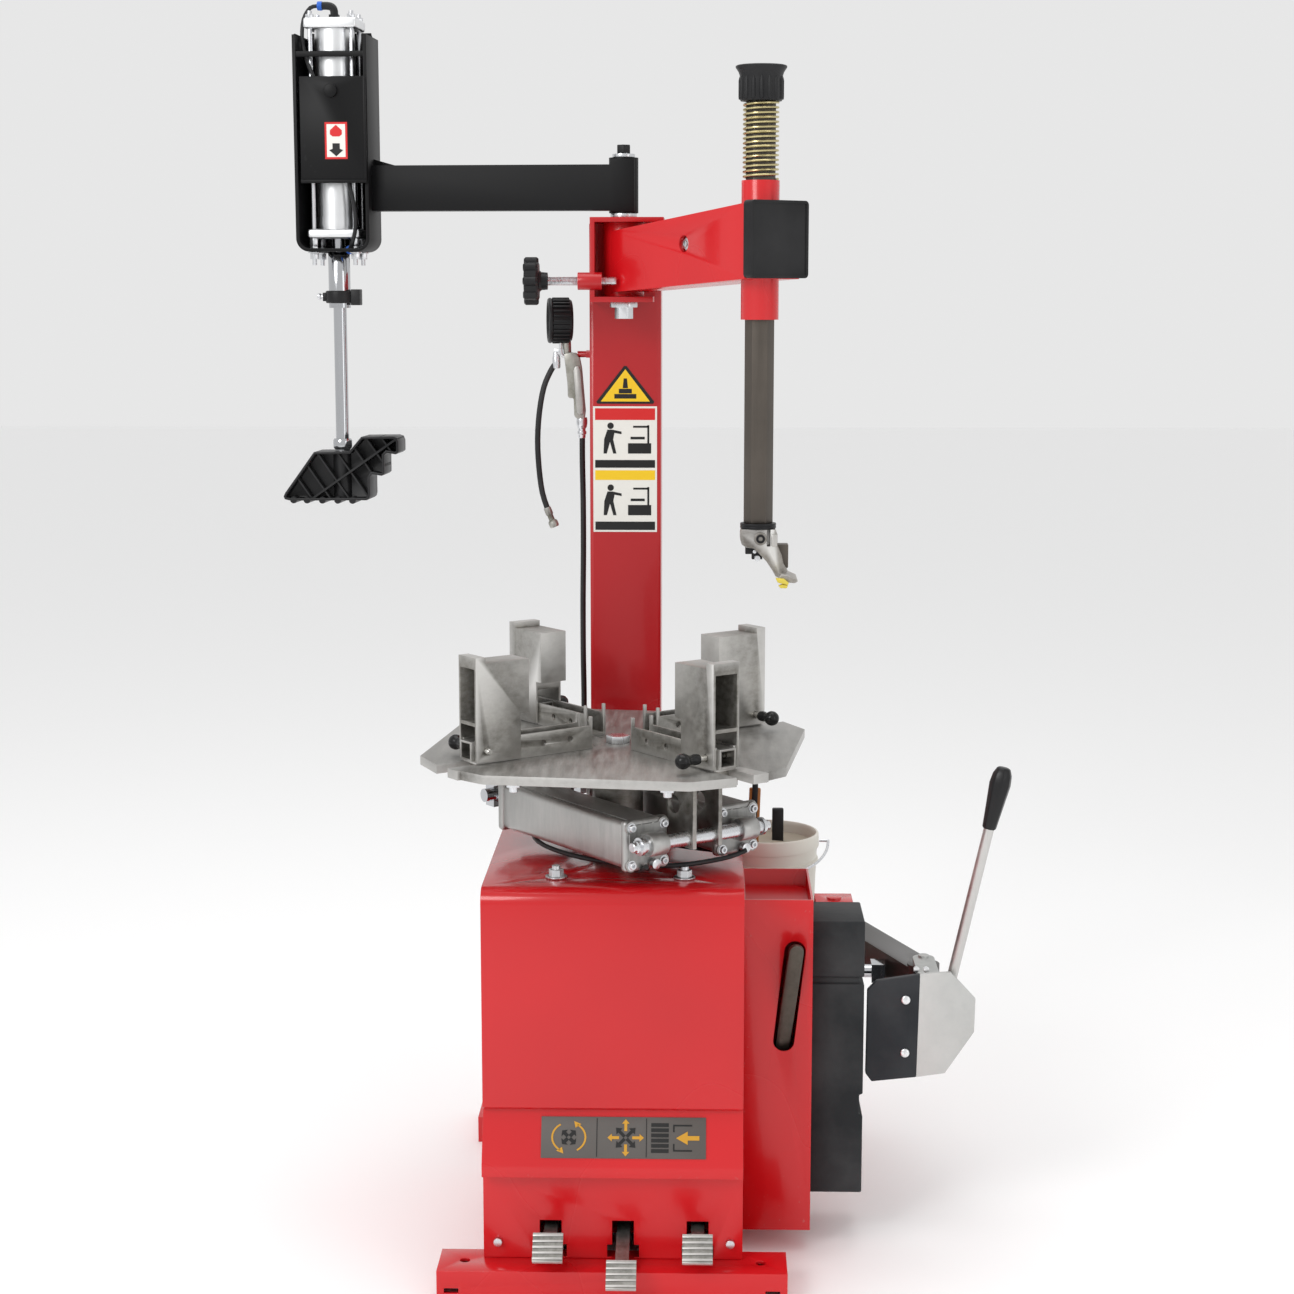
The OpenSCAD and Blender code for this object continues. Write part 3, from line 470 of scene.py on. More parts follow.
def cut(piece, cutter, how="DIFFERENCE"):
    """Cuts a piece with another one, which is used up."""
    only(piece)
    change = piece.modifiers.new("cut", "BOOLEAN")
    change.operation = how
    change.solver = "EXACT"
    change.object = cutter
    bpy.ops.object.modifier_apply(modifier="cut")
    bpy.data.objects.remove(cutter)
    return piece


def pick_faces(piece, test):
    """Selects the faces that pass a test on centre and normal, and stays in edit mode."""
    only(piece)
    bpy.ops.object.mode_set(mode="EDIT")
    bpy.ops.mesh.select_mode(type="FACE")
    bpy.ops.mesh.select_all(action="DESELECT")
    bpy.ops.object.mode_set(mode="OBJECT")
    for face in piece.data.polygons:
        face.select = test(face.center / MM, face.normal)
    bpy.ops.object.mode_set(mode="EDIT")


def sink(piece, test, border, depth):
    """Insets the picked faces by a border and pushes them in, in millimetres."""
    pick_faces(piece, test)
    bpy.ops.mesh.inset(thickness=border * MM, depth=0)
    bpy.ops.mesh.inset(thickness=0, depth=-depth * MM)
    bpy.ops.mesh.select_mode(type="VERT")
    bpy.ops.object.mode_set(mode="OBJECT")


def round_corners(piece, test, radius):
    """Rounds the edges whose two ends pass a test, by a radius in millimetres."""
    only(piece)
    bpy.ops.object.mode_set(mode="EDIT")
    bpy.ops.mesh.select_mode(type="EDGE")
    bpy.ops.mesh.select_all(action="DESELECT")
    bpy.ops.object.mode_set(mode="OBJECT")
    for edge in piece.data.edges:
        a, b = (piece.data.vertices[i].co for i in edge.vertices)
        edge.select = test(a, b)
    bpy.ops.object.mode_set(mode="EDIT")
    bpy.ops.mesh.bevel(offset=radius * MM, segments=5)
    bpy.ops.mesh.select_mode(type="VERT")
    bpy.ops.object.mode_set(mode="OBJECT")


def ease(obj, width, angle=35, segments=2):
    """Rounds the sharp edges a little and smooths the round faces."""
    only(obj)
    if width > 0:
        bevel = obj.modifiers.new("edge", "BEVEL")
        bevel.width = width * MM
        bevel.segments = segments
        bevel.limit_method = "ANGLE"
        bevel.angle_limit = math.radians(angle)
        bevel.use_clamp_overlap = True
        bpy.ops.object.modifier_apply(modifier="edge")
    bpy.ops.object.shade_smooth_by_angle(angle=math.radians(angle))


def fitted(piece, finish, body, stands_for=(), edge=0, angle=35, segments=2):
    """Last step of every new piece: eased edges, finish, body, and the CAD node it stands for."""
    ease(piece, edge, angle, segments)
    piece.data.materials.clear()
    piece.data.materials.append(FINISH[finish])
    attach(piece, body)
    if stands_for:
        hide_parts(*stands_for)
    return piece


def grouped(name, parts, place, finish, body, stands_for=(), edge=0):
    """Several parts joined, carried to their place and fitted."""
    return fitted(moved(joined(name, parts), place), finish, body, stands_for, edge)


def softened(node, width, finish):
    """A copy of a CAD node with its edges eased, shown in its place."""
    source = frame["nodes"][node]
    piece = source.copy()
    piece.data = source.data.copy()
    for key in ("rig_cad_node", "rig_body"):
        del piece[key]
    piece.name = node + "_finished"
    piece.parent = None
    bpy.context.scene.collection.objects.link(piece)
    only(piece)
    bpy.ops.object.mode_set(mode="EDIT")
    bpy.ops.mesh.select_all(action="SELECT")
    bpy.ops.mesh.remove_doubles(threshold=0.00002)
    bpy.ops.mesh.dissolve_limited(angle_limit=math.radians(1))
    bpy.ops.object.mode_set(mode="OBJECT")
    return fitted(piece, finish, source["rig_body"], (node,), width)


def show(node, finish):
    """A CAD node that stays as it is and takes a finish."""
    piece = frame["nodes"][node]
    piece.data.materials.clear()
    piece.data.materials.append(FINISH[finish])


AT_SHAFT = Matrix.Translation(SHAFT)
AT_PRESS = Matrix.Translation(PIVOT) @ Matrix.Rotation(PRESS_TURN, 4, "Z")
AT_ARM = Matrix.Translation(PIVOT) @ Matrix.Rotation(ARM_TURN, 4, "Z")
AT_JAW = [Matrix.Rotation(turn, 4, "Z") for turn in JAW_TURNS]


# ---------------------------------------------------------------- hoses

def curve_at(points, i, s):
    a, b = Vector(points[max(i - 1, 0)]), Vector(points[i])
    c, d = Vector(points[i + 1]), Vector(points[min(i + 2, len(points) - 1)])
    return 0.5 * (2 * b + (c - a) * s + (2 * a - 5 * b + 4 * c - d) * s * s + (3 * b - a - 3 * c + d) * s ** 3)


def route(points):
    """Three steps between each pair of points, on a cubic through them, in metres."""
    line = [curve_at(points, i, s / 3) * MM for i in range(len(points) - 1) for s in range(3)]
    return line + [Vector(points[-1]) * MM]


def hose_piece(name, points, node):
    line = route(points)
    piece = round_line(name, line, HOSE_D / 2, 5)
    piece.data.materials.append(FINISH["hose"])
    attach(piece, "machine")
    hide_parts(node)
    return piece


# ---------------------------------------------------------------- tool shaft

def make_mount_head():
    """Cast duck head: clamp socket, neck swept down to the right, flared foot."""
    head = drawn_xz("duck_head_casting", [
        (-24, 1033), (-25.5, 1027), (-25.5, 1019), (-23.5, 1012), (-17, 1007.5), (-6, 1006), (2, 998),
        (12, 987), (20, 975), (25, 966), (33, 962), (42, 974), (36, 984), (33.5, 996), (29, 1007),
        (27, 1012), (27, 1026), (24, 1033)], -21, 21)
    pick_faces(head, lambda c, n: c.z < 1000)
    bpy.ops.transform.resize(value=(1, 0.72, 1), center_override=(0, 0, 1))
    bpy.ops.object.mode_set(mode="OBJECT")
    cut(head, block("slit", (12.5, 17), (-30, 2), (1009, 1040)))
    foot = drawn_xz("foot", [(23, 969), (29, 962.5), (42, 957.5), (54, 956), (61, 959.5), (60, 964),
        (50, 969), (40, 975), (28, 977)], -38, 30)
    for end in (-38, 30):
        pick_faces(foot, lambda c, n: abs(c.y - end) < 1)
        bpy.ops.transform.resize(value=(0.72, 1, 0.6), center_override=(0.043, end * MM, 0.964))
        bpy.ops.object.mode_set(mode="OBJECT")
    ease(foot, 3, 25, 3)
    boss = turned("bolt_boss", [(0, -27), (8.4, -27), (9.2, -26), (9.2, -15), (0, -15)], (3, 0, 1020.5),
        (0, 1, 0))
    ear = block("clamp_ear", (18, 26.5), (-24, -12), (1009.5, 1026.5))
    ease(head, 2.2, 30, 3)
    ease(boss, 0.5)
    ease(ear, 1.5)
    casting = moved(joined("duck_head", [head, foot, boss, ear]), AT_SHAFT)
    fitted(casting, "cast", "tool_shaft", ("mount_head",))
    screw = turned("socket_screw", [(0, -25), (3.1, -25), (3.1, -28.4), (5.9, -28.4), (6.3, -27.8),
        (6.3, -26), (0, -26)], (3, 0, 1020.5), (0, 1, 0))
    collar = turned("collar_ring", [(18, 1033.2), (24.6, 1033.2), (25.5, 1034), (25.5, 1036.6),
        (24.9, 1037), (25.5, 1037.4), (25.5, 1040.4), (24.8, 1041), (18, 1041), (18, 1033.2)], (0, 0, 0))
    wedge = block("set_wedge", (-18, 1), (-13, 8), (997.5, 1007))
    toe = block("set_toe", (-9, 6), (-12, 6), (990, 998))
    dark = moved(joined("head_screw_and_collar", [screw, collar, wedge, toe]), AT_SHAFT)
    fitted(dark, "plastic", "tool_shaft", (), 0.6)
    back = moved(block("back_block", (24, 43), (-6, 17), (977, 1010.5)), AT_SHAFT)
    fitted(back, "hex", "tool_shaft", (), 1.4)
    nubs = [rod("nub", (-5, -15, 1001), (-5, -11, 1001), 2.6), rod("nub", (-1, -17, 991.5), (-1, -9, 991.5),
        4.2)]
    grouped("set_screws", nubs, AT_SHAFT, "zinc", "tool_shaft", (), 0.5)
    upper = drawn_xz("prong", [(24, 967), (27, 961), (41, 957.5), (43, 960), (36, 966)], -47, -35)
    lower = drawn_xz("prong", [(28, 956.5), (31, 953), (40, 953), (41.5, 957), (34, 958)], -46, -34)
    grouped("rim_guard_prongs", [upper, lower], AT_SHAFT, "yellow_plastic", "tool_shaft",
           ("head_insert",), 0.9)


def make_spring():
    turns, coil_r, wire, low, high = 16, 23.8, 1.6, 1519, 1622.4
    steps = turns * 28
    points = []
    for i in range(steps + 1):
        angle = 2 * math.pi * turns * i / steps
        points.append((coil_r * math.cos(angle), coil_r * math.sin(angle), low + (high - low) * i / steps))
    coil = bent("return_spring", points, wire, 2, False)
    moved(coil, AT_SHAFT)
    ease(coil, 0)
    coil.data.materials.clear()
    coil.data.materials.append(FINISH["yellow_zinc"])
    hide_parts("shaft_spring")
    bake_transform(coil)


def make_shaft_cap():
    """Flared cap: recessed top, waist with rounded flutes."""
    cap = turned("spring_cap", [(0, 1666), (26, 1666), (31, 1671), (33.5, 1672.5), (35.5, 1671.5),
        (35.5, 1669.5), (31.5, 1663.5), (30, 1659), (29.5, 1654), (29.5, 1627), (28.5, 1624.5), (26, 1624),
        (0, 1624)], (0, 0, 0), steps=64)
    flutes = []
    for k in range(16):
        angle = math.radians(22.5 * k)
        x, y = 28.3 * math.cos(angle), 28.3 * math.sin(angle)
        flutes.append(turned("flute", [(0, 1626), (2.8, 1626.5), (3.2, 1630), (3.2, 1652), (2, 1657),
            (0, 1658.5)], (x, y, 0), steps=12))
    moved(joined("shaft_spring_cap", [cap] + flutes), AT_SHAFT)
    fitted(cap, "plastic", "tool_shaft", ("shaft_cap",))


def make_arm_trim():
    """Moulded end cover with a raised rim, and the bolt in the beam's side hole."""
    cover = block("beam_end_cover", (ARM_REACH / MM + 26.6, ARM_REACH / MM + 44.6), (-50.5, 50.5),
        (1383, 1489))
    sink(cover, lambda c, n: n.x > 0.9, 4, 2)
    round_corners(cover, lambda a, b: abs(a.x - b.x) > 0.005, 6)
    fitted(moved(cover, AT_ARM), "plastic", "swing_arm", ("arm_end_cover",), 0.9)
    bolt = joined("beam_bolt", [rod("head", (205, -36.4, 1432), (205, -31, 1432), 9.2, sides=6),
        rod("washer", (205, -32.6, 1432), (205, -30.6, 1432), 11.4), rod("tip", (205, -38.4, 1432),
        (205, -34, 1432), 4.6)])
    fitted(moved(bolt, AT_ARM), "zinc", "swing_arm", (), 0.6)


# ---------------------------------------------------------------- press arm

PRESS_AXIS = PRESS_REACH / MM


def ring_of_four(make, half_x, half_y):
    return [make(PRESS_AXIS + sx * half_x, sy * half_y) for sx in (-1, 1) for sy in (-1, 1)]


def make_press_cylinder():
    barrel = turned("barrel", [(0, 1457), (30, 1457), (30, 1753), (0, 1753)], (PRESS_AXIS, 0, 0), steps=56)
    caps = []
    for z in ((1444, 1458), (1752, 1768)):
        cap = block("end_block", (PRESS_AXIS - 40, PRESS_AXIS + 40), (-36, 36), z)
        ease(cap, 4, 35, 3)
        caps.append(cap)
    cut(caps[0], rod("bore", (PRESS_AXIS, 0, 1430), (PRESS_AXIS, 0, 1470), 17.2))
    band = turned("band", [(30, 1462), (31, 1462), (31, 1476), (30, 1476), (30, 1462)], (PRESS_AXIS, 0, 0))
    cylinder = moved(joined("press_air_cylinder", [barrel] + caps + [band]), AT_PRESS)
    fitted(cylinder, "white_barrel", "press_arm", ("press_cylinder",))
    bright = []
    bright += ring_of_four(lambda x, y: rod("tie_rod", (x, y, 1404), (x, y, 1778), 3.4, sides=16), 31.5, 27)
    for z0, z1, r in ((1768, 1773, 6.6), (1433, 1444, 6.8), (1427.5, 1432, 6.8), (1413, 1423.5, 6.8)):
        bright += ring_of_four(lambda x, y: rod("nut", (x, y, z0), (x, y, z1), r, sides=6), 31.5, 27)
    bright += ring_of_four(lambda x, y: rod("washer", (x, y, 1422), (x, y, 1424), 9.4), 31.5, 27)
    grouped("tie_rods_and_nuts", bright, AT_PRESS, "zinc", "press_arm", (), 0.4)
    elbow = bent("elbow", [(436, 0, 1768), (436, 0, 1780), (439, 0, 1786), (446, 0, 1788), (456, 0, 1788)], 6)
    base = rod("elbow_nut", (436, 0, 1768), (436, 0, 1775), 8.5, sides=6)
    lower = bent("elbow", [(413, 10, 1444), (413, 12, 1434), (413, 17, 1428), (413, 26, 1427)], 5)
    grouped("air_elbows", [elbow, base, lower], AT_PRESS, "plastic", "press_arm")
    blues = [turned("collar", [(4.2, 454), (6.6, 454), (6.9, 456), (6.6, 461), (4.2, 461), (4.2, 454)],
        (0, 0, 1788), (1, 0, 0)), turned("collar", [(3.6, 24), (6.4, 24), (6.7, 26), (6.3, 30), (3.6, 30),
        (3.6, 24)], (413, 0, 1427), (0, 1, 0))]
    grouped("push_fit_collars", blues, AT_PRESS, "blue", "press_arm")
    tube = bent("press_air_tube", [(460, 0, 1788), (472, 2, 1785), (481, 8, 1768), (482, 16, 1742),
        (477, 25, 1718), (468, 32, 1695), (456, 37, 1668), (440, 39, 1628), (424, 39, 1580),
        (411, 39, 1530), (403, 38, 1492), (401, 40, 1462), (406, 38, 1440), (413, 29, 1427)], 3)
    fitted(moved(tube, AT_PRESS), "hose", "press_arm")


def make_press_label():
    """Plain up and down arrows in a red frame, and the cover's folded edges."""
    x, z = (408.5, 442.5), (1560, 1614)
    frame_plate = block("label_frame", x, (51, 51.5), z)
    fitted(moved(frame_plate, AT_PRESS), "sign_red", "press_arm")
    field = block("label_field", (x[0] + 3, x[1] - 3), (51.4, 51.8), (z[0] + 3, z[1] - 3))
    fitted(moved(field, AT_PRESS), "sign_white", "press_arm")
    up = [(425.5, 1610), (416.5, 1602), (416.5, 1596), (420.5, 1593), (430.5, 1593), (434.5, 1596),
        (434.5, 1602)]
    arrow = drawn_xz("label_up", up, 51.7, 52.1)
    fitted(moved(arrow, AT_PRESS), "sign_red", "press_arm")
    down = [(425.5, 1564), (415, 1573), (420, 1575), (420, 1583), (431, 1583), (431, 1575), (436, 1573)]
    arrow = drawn_xz("label_down", down, 51.7, 52.1)
    fitted(moved(arrow, AT_PRESS), "sign_black", "press_arm")
    edge = [block("cover_fold", (380, 480), (46, 53), (1525, 1530)),
            block("cover_fold", (380, 384), (44, 51.6), (1530, 1681))]
    grouped("cover_folds", edge, AT_PRESS, "black_paint", "press_arm", (), 0.8)


def make_press_rod():
    shaft = turned("press_rod_bar", [(0, 1128), (10, 1128), (10, 1340), (16.4, 1340), (16.6, 1342),
        (16.6, 1424), (16, 1425), (10, 1425), (10, 1700), (0, 1700)], (PRESS_AXIS, 0, 0), steps=48)
    fitted(moved(shaft, AT_PRESS), "chrome", "press_rod", ("press_rod",))
    clamp = turned("clamp", [(16.5, 1347), (20, 1347), (21.5, 1348.5), (21.5, 1364.5), (20, 1366),
        (16.5, 1366), (16.5, 1347)], (PRESS_AXIS, 0, 0))
    parts = [clamp, block("knob", (PRESS_AXIS - 33, PRESS_AXIS - 19), (-9, 11), (1344, 1368)), block("lug",
        (PRESS_AXIS + 17, PRESS_AXIS + 25), (-8, 8), (1350, 1363))]
    grouped("rod_stop_collar", parts, AT_PRESS, "plastic", "press_rod", (), 1.2)
    bolt = [rod("bolt", (PRESS_AXIS + 20, 0, 1357), (PRESS_AXIS + 30, 0, 1357), 3.2),
            rod("bolt", (PRESS_AXIS + 29, 0, 1357), (PRESS_AXIS + 34, 0, 1357), 5.2, sides=6)]
    grouped("collar_screw", bolt, AT_PRESS, "zinc", "press_rod", (), 0.4)


def make_press_foot():
    """Moulded stepped foot: rim, mid web, slanted ribs, round socket and knobbly sole."""
    outline = [(-39, 1121.6), (-85, 1059), (-88, 1053), (-86, 1048.5), (-77, 1046.5), (42, 1048),
        (46, 1051), (47.2, 1056), (47.2, 1083), (51, 1088), (66, 1085.7), (70, 1089), (70, 1117),
        (74, 1121), (88, 1118.6), (92.5, 1122), (92.5, 1138), (90, 1144), (84, 1146), (35, 1145.2),
        (15.5, 1122.5)]
    shell = drawn_xz("foot_shell", outline, -29, 29)
    for side in (-1, 1):
        sink(shell, lambda c, n: n.y * side > 0.9, 3.6, 24)
    keep = drawn_xz("inner", outline, -27.4, 27.4)
    ribs = [drawn_xz("rib", [(-60, 1040), (-57, 1038.5), (98, 1146.5), (96, 1149)], -27.4, 27.4)]
    along = Vector((155, 0, 108)).normalized()
    across = Vector((-along.z, 0, along.x))
    for reach in (18, 42, 66, 92, 118, 142, 162):
        foot_point = Vector((-60, 0, 1040)) + along * reach
        corners = [foot_point + across * 70 + along * 1.2, foot_point + across * 70 - along * 1.2,
            foot_point - across * 70 - along * 1.2, foot_point - across * 70 + along * 1.2]
        ribs.append(drawn_xz("rib", [(c.x, c.z) for c in corners], -24, 24))
    socket = rod("socket", (0, 0, 1050), (0, 0, 1121), 15)
    for piece in ribs + [socket]:
        copy = keep.copy()
        copy.data = keep.data.copy()
        bpy.context.scene.collection.objects.link(copy)
        cut(piece, copy, "INTERSECT")
    bpy.data.objects.remove(keep)
    knobs = [rod("knob", (x, -26, 1047.5), (x, 26, 1047.5), 5.4, sides=16) for x in (-73, -52, -28, -4, 19)]
    ease(shell, 1.6, 30)
    foot = joined("stepped_press_foot", [shell] + ribs + [socket] + knobs)
    spin_to_place = Matrix.Translation(PRESS) @ Matrix.Rotation(PRESS_TURN - math.pi, 4, "Z")
    fitted(moved(foot, spin_to_place), "foot", "press_foot", ("press_foot",))
    nut = turned("foot_collar_nut", [(10.3, 1121), (11.5, 1121), (11.5, 1124), (13.6, 1126), (14.6, 1129),
        (14.6, 1138), (13, 1141), (10.3, 1141), (10.3, 1121)], (0, 0, 0))
    fitted(moved(nut, Matrix.Translation(PRESS)), "chrome", "press_foot")


# ---------------------------------------------------------------- inflator

def make_gauge():
    """Pressure gauge in its ribbed rubber boot, dial to the left."""
    axis = Vector((math.cos(math.radians(8)), math.sin(math.radians(8)), 0))
    place = at(-103, GUN_Y, 1320) @ axis.to_track_quat("Z",
        "Y").to_matrix().to_4x4()
    boot = turned("boot", [(29, -19), (33.5, -19), (35, -17), (35, -14), (33, -12.5), (33, 15), (31, 18),
        (27, 19), (0, 19), (0, -13), (29, -13), (29, -19)], (0, 0, 0), steps=56)
    ribs = []
    for k in range(28):
        angle = 2 * math.pi * k / 28
        rib = block("rib", (32, 35.6), (-1.5, 1.5), (-12, 14))
        ribs.append(moved(rib, Matrix.Rotation(angle, 4, "Z")))
    grouped("gauge_boot", [boot] + ribs, place, "plastic", "machine", ("pressure_gauge",), 0.7)
    face = turned("face", [(0, -14.4), (29, -14.4), (29, -13), (0, -13)], (0, 0, 0), steps=48)
    fitted(moved(face, place), "dial", "machine")
    marks = []
    for k in range(11):
        angle = math.radians(-135 + 27 * k)
        mark = block("mark", (20, 27), (-0.5, 0.5), (-14.8, -14.3))
        marks.append(moved(mark, Matrix.Rotation(angle, 4, "Z")))
    pointer = drawn("pointer", [(-6, -1.5, -15.2), (22, -0.3, -15.2), (22, 0.3, -15.2), (-6, 1.5, -15.2)],
        (0, 0, 0.5))
    hub = rod("hub", (0, 0, -16), (0, 0, -14), 3)
    grouped("gauge_marks", marks + [pointer, hub], place, "sign_black", "machine")


def make_gun():
    """Inflator handle: casting, squeeze lever, swivel coupling, gauge pipe, hose ferrule on its arm and valve
    chuck.
    """
    casting = drawn_xz("casting", [(-97, 1268), (-95, 1254), (-91.5, 1222), (-91, 1202), (-88, 1200),
        (-82, 1200), (-81, 1172), (-77, 1168), (-65, 1168), (-63.5, 1180), (-66, 1210), (-69, 1246),
        (-72, 1262), (-78, 1270), (-88, 1271)], 363, 381)
    neck = rod("neck", (-92, GUN_Y, 1268), (-93.5, GUN_Y, 1291), 6.6, 7.4)
    fitted(joined("inflator_casting", [casting, neck]), "gun", "machine", ("inflator_gun",), 1.6)
    lever = drawn_xz("squeeze_lever", [(-82, 1243), (-77, 1178), (-72, 1174), (-65.5, 1176), (-66, 1190),
        (-70, 1240), (-73, 1250), (-79, 1250)], 357, 364)
    fitted(lever, "pedal", "machine", (), 1.6)
    coupling = turned("swivel_coupling", [(0, 1170), (8, 1170), (8.6, 1166), (8.6, 1160), (7.6, 1155),
        (5.6, 1152), (5.6, 1149), (7, 1148), (7, 1144), (5.6, 1143), (5.6, 1138), (4.6, 1137), (0, 1137)],
        (-69.5, GUN_Y, 0), steps=32)
    pipe = bent("gauge_pipe", [(-102, 366, 1290), (-102, 366, 1276), (-100, 366, 1267), (-94, 366, 1264),
        (-84, 366, 1263.5)], 2.4)
    ferrule = turned("hose_ferrule", [(4.6, 1246), (6, 1246), (6.4, 1249), (6.4, 1262), (5.2, 1266),
        (5.2, 1271), (0, 1272)], (-109, GUN_Y, 0), steps=24)
    arm = block("hose_arm", (-112, -88), (367.5, 376.5), (1267.5, 1276))
    fitted(joined("inflator_fittings", [coupling, pipe, ferrule, arm]), "zinc", "machine", (), 0.5)
    end = Vector(TYRE_HOSE[-1])
    aim = Vector((math.sin(math.radians(158)), 0, math.cos(math.radians(158))))
    chuck = turned("valve_chuck", [(0, -5), (5.6, -5), (5.9, -3), (5.9, 6), (4.6, 8), (4.6, 16),
        (6.6, 17.5), (7.6, 20), (7.6, 26), (6.6, 28), (3, 28), (3, 25), (0, 25)], end, aim, 32)
    return fitted(chuck, "gun", "machine", ("tyre_chuck",))


# ---------------------------------------------------------------- turntable

CAP_Z, CAP_V, BAR_U, BAR_Z = 621, 78, 198, 625
BOLT_V, BOLT_Z = 27, 26


def make_clamp_cylinder(v):
    """One air cylinder: extruded barrel, two cast caps, star ribs and clevis eye."""
    barrel = block("barrel", (-131, 166), (v - 34, v + 34), (CAP_Z - 33, CAP_Z + 33))
    round_corners(barrel, lambda a, b: abs(a.x - b.x) > 0.01, 9)
    seam = block("seam", (-131, 166), (v - 22, v - 20), (CAP_Z + 32, CAP_Z + 34.2))
    cut(barrel, seam)
    parts = [barrel]
    for u0, u1 in ((-145, -130), (165, 178)):
        cap = block("cap", (u0, u1), (v - 37, v + 37), (CAP_Z - 36, CAP_Z + 36))
        ease(cap, 6, 35, 4)
        sink(cap, lambda c, n: n.x * (u1 if u1 > 0 else u0) > 0.9 * abs(u1 if u1 > 0 else u0), 3, 1.4)
        parts.append(cap)
    for k in range(8):
        angle = math.radians(45 * k + 22.5)
        rib = drawn("rib", [(176, -1.6, 8), (176, 1.6, 8), (176, 3.2, 31), (176, -3.2, 31)], (3.4, 0, 0))
        parts.append(moved(rib, at(0, v, CAP_Z) @ Matrix.Rotation(angle, 4,
            "X")))
    parts.append(rod("boss", (176, v, CAP_Z), (183, v, CAP_Z), 17, 15))
    for sy in (-1, 1):
        for sz in (-1, 1):
            parts.append(rod("pad", (176, v + sy * BOLT_V, CAP_Z + sz * BOLT_Z),
                (179.6, v + sy * BOLT_V, CAP_Z + sz * BOLT_Z), 9))
    parts.append(block("eye_web", (179, BAR_U), (v - 12, v + 12), (612, 638)))
    parts.append(turned("eye", [(10, -14), (15, -14), (16, -12.5), (16, 12.5), (15, 14), (10, 14),
        (10, -14)], (BAR_U, v, BAR_Z), (0, 1, 0)))
    return parts


def make_clamp_cylinders():
    parts = make_clamp_cylinder(-CAP_V) + make_clamp_cylinder(CAP_V)
    pair = moved(joined("clamp_cylinder_pair", parts), AT_JAW[0])
    fitted(pair, "alloy", "jaw_1", ("clamp_cylinders",), 0.8)
    bright = [turned("pull_bar", [(0, -118), (6, -118), (7, -117), (7, -112), (9, -111), (9, -107),
        (12.5, -106.5), (12.5, -102.5), (10, -102), (10, 102), (12.5, 102.5), (12.5, 106.5), (9, 107),
        (9, 111), (7, 112), (7, 117), (6, 118), (0, 118)], (BAR_U, 0, BAR_Z), (0, 1, 0))]
    for v in (-CAP_V, CAP_V):
        for sy in (-1, 1):
            for sz in (-1, 1):
                y, z = v + sy * BOLT_V, CAP_Z + sz * BOLT_Z
                bright.append(turned("bolt", [(0, 181), (2.6, 181), (2.6, 184.6), (4.8, 184.6), (5.2, 184),
                    (5.2, 180.6), (7, 180.4), (7, 179.4), (0, 179.4)], (0, y, z), (1, 0, 0), 20))
        bright.append(turned("port_fitting", [(0, 177), (5, 177), (5, 183), (7, 183.5), (7, 190), (4, 191),
            (0, 191)], (0, v + 8, CAP_Z - 27), (1, 0, 0), 20))
    grouped("clamp_bar_and_bolts", bright, AT_JAW[0], "zinc", "jaw_1")
    lines = []
    for s in (-1, 1):
        lines.append(bent("line", [(-138, s * 78, 583), (-120, s * 76, 581), (-60, s * 64, 577),
            (0, s * 50, 575), (60, s * 60, 577), (120, s * 72, 581), (168, s * 84, 584),
            (188, s * 86, 592)], 4))
    lines.append(bent("line", [(-142, -40, 590), (-120, -70, 583), (-70, -92, 578), (-10, -96, 576),
        (60, -88, 577), (120, -66, 579), (170, -30, 582), (186, 10, 584), (186, 60, 585), (192, 84, 592)],
        3.4))
    grouped("clamp_air_lines", lines, AT_JAW[0], "hose", "jaw_1")


def make_lock_pins():
    for k in range(4):
        pin = turned("lock_pin_bar", [(0, -40), (5, -40), (5, 28), (3.6, 30), (0, 30)], PIN,
            (0, 1, 0), 20)
        fitted(moved(pin, AT_JAW[k]), "pin", "pin_%d" % (k + 1), ("lock_pin_%d" % (k + 1),))
        profile = [(0, -71)]
        for a in (20, 40, 60, 80, 100, 120, 135):
            profile.append((11 * math.sin(math.radians(a)), -60 - 11 * math.cos(math.radians(a))))
        profile += [(7.2, -51), (6.4, -46), (7.6, -42), (7.6, -37), (7, -34), (0, -34)]
        ball = turned("lock_pin_knob", profile, PIN, (0, 1, 0), 28)
        fitted(moved(ball, AT_JAW[k]), "gloss_black", "pin_%d" % (k + 1))


# ---------------------------------------------------------------- labels

def plate_xz(name, points, y, finish, body, thick=0.5):
    """A thin flat sign in front of a face, its front towards the operator."""
    return fitted(drawn_xz(name, points, y - thick, y), finish, body)


def square(x0, z0, x1, z1):
    return [(x0, z0), (x1, z0), (x1, z1), (x0, z1)]


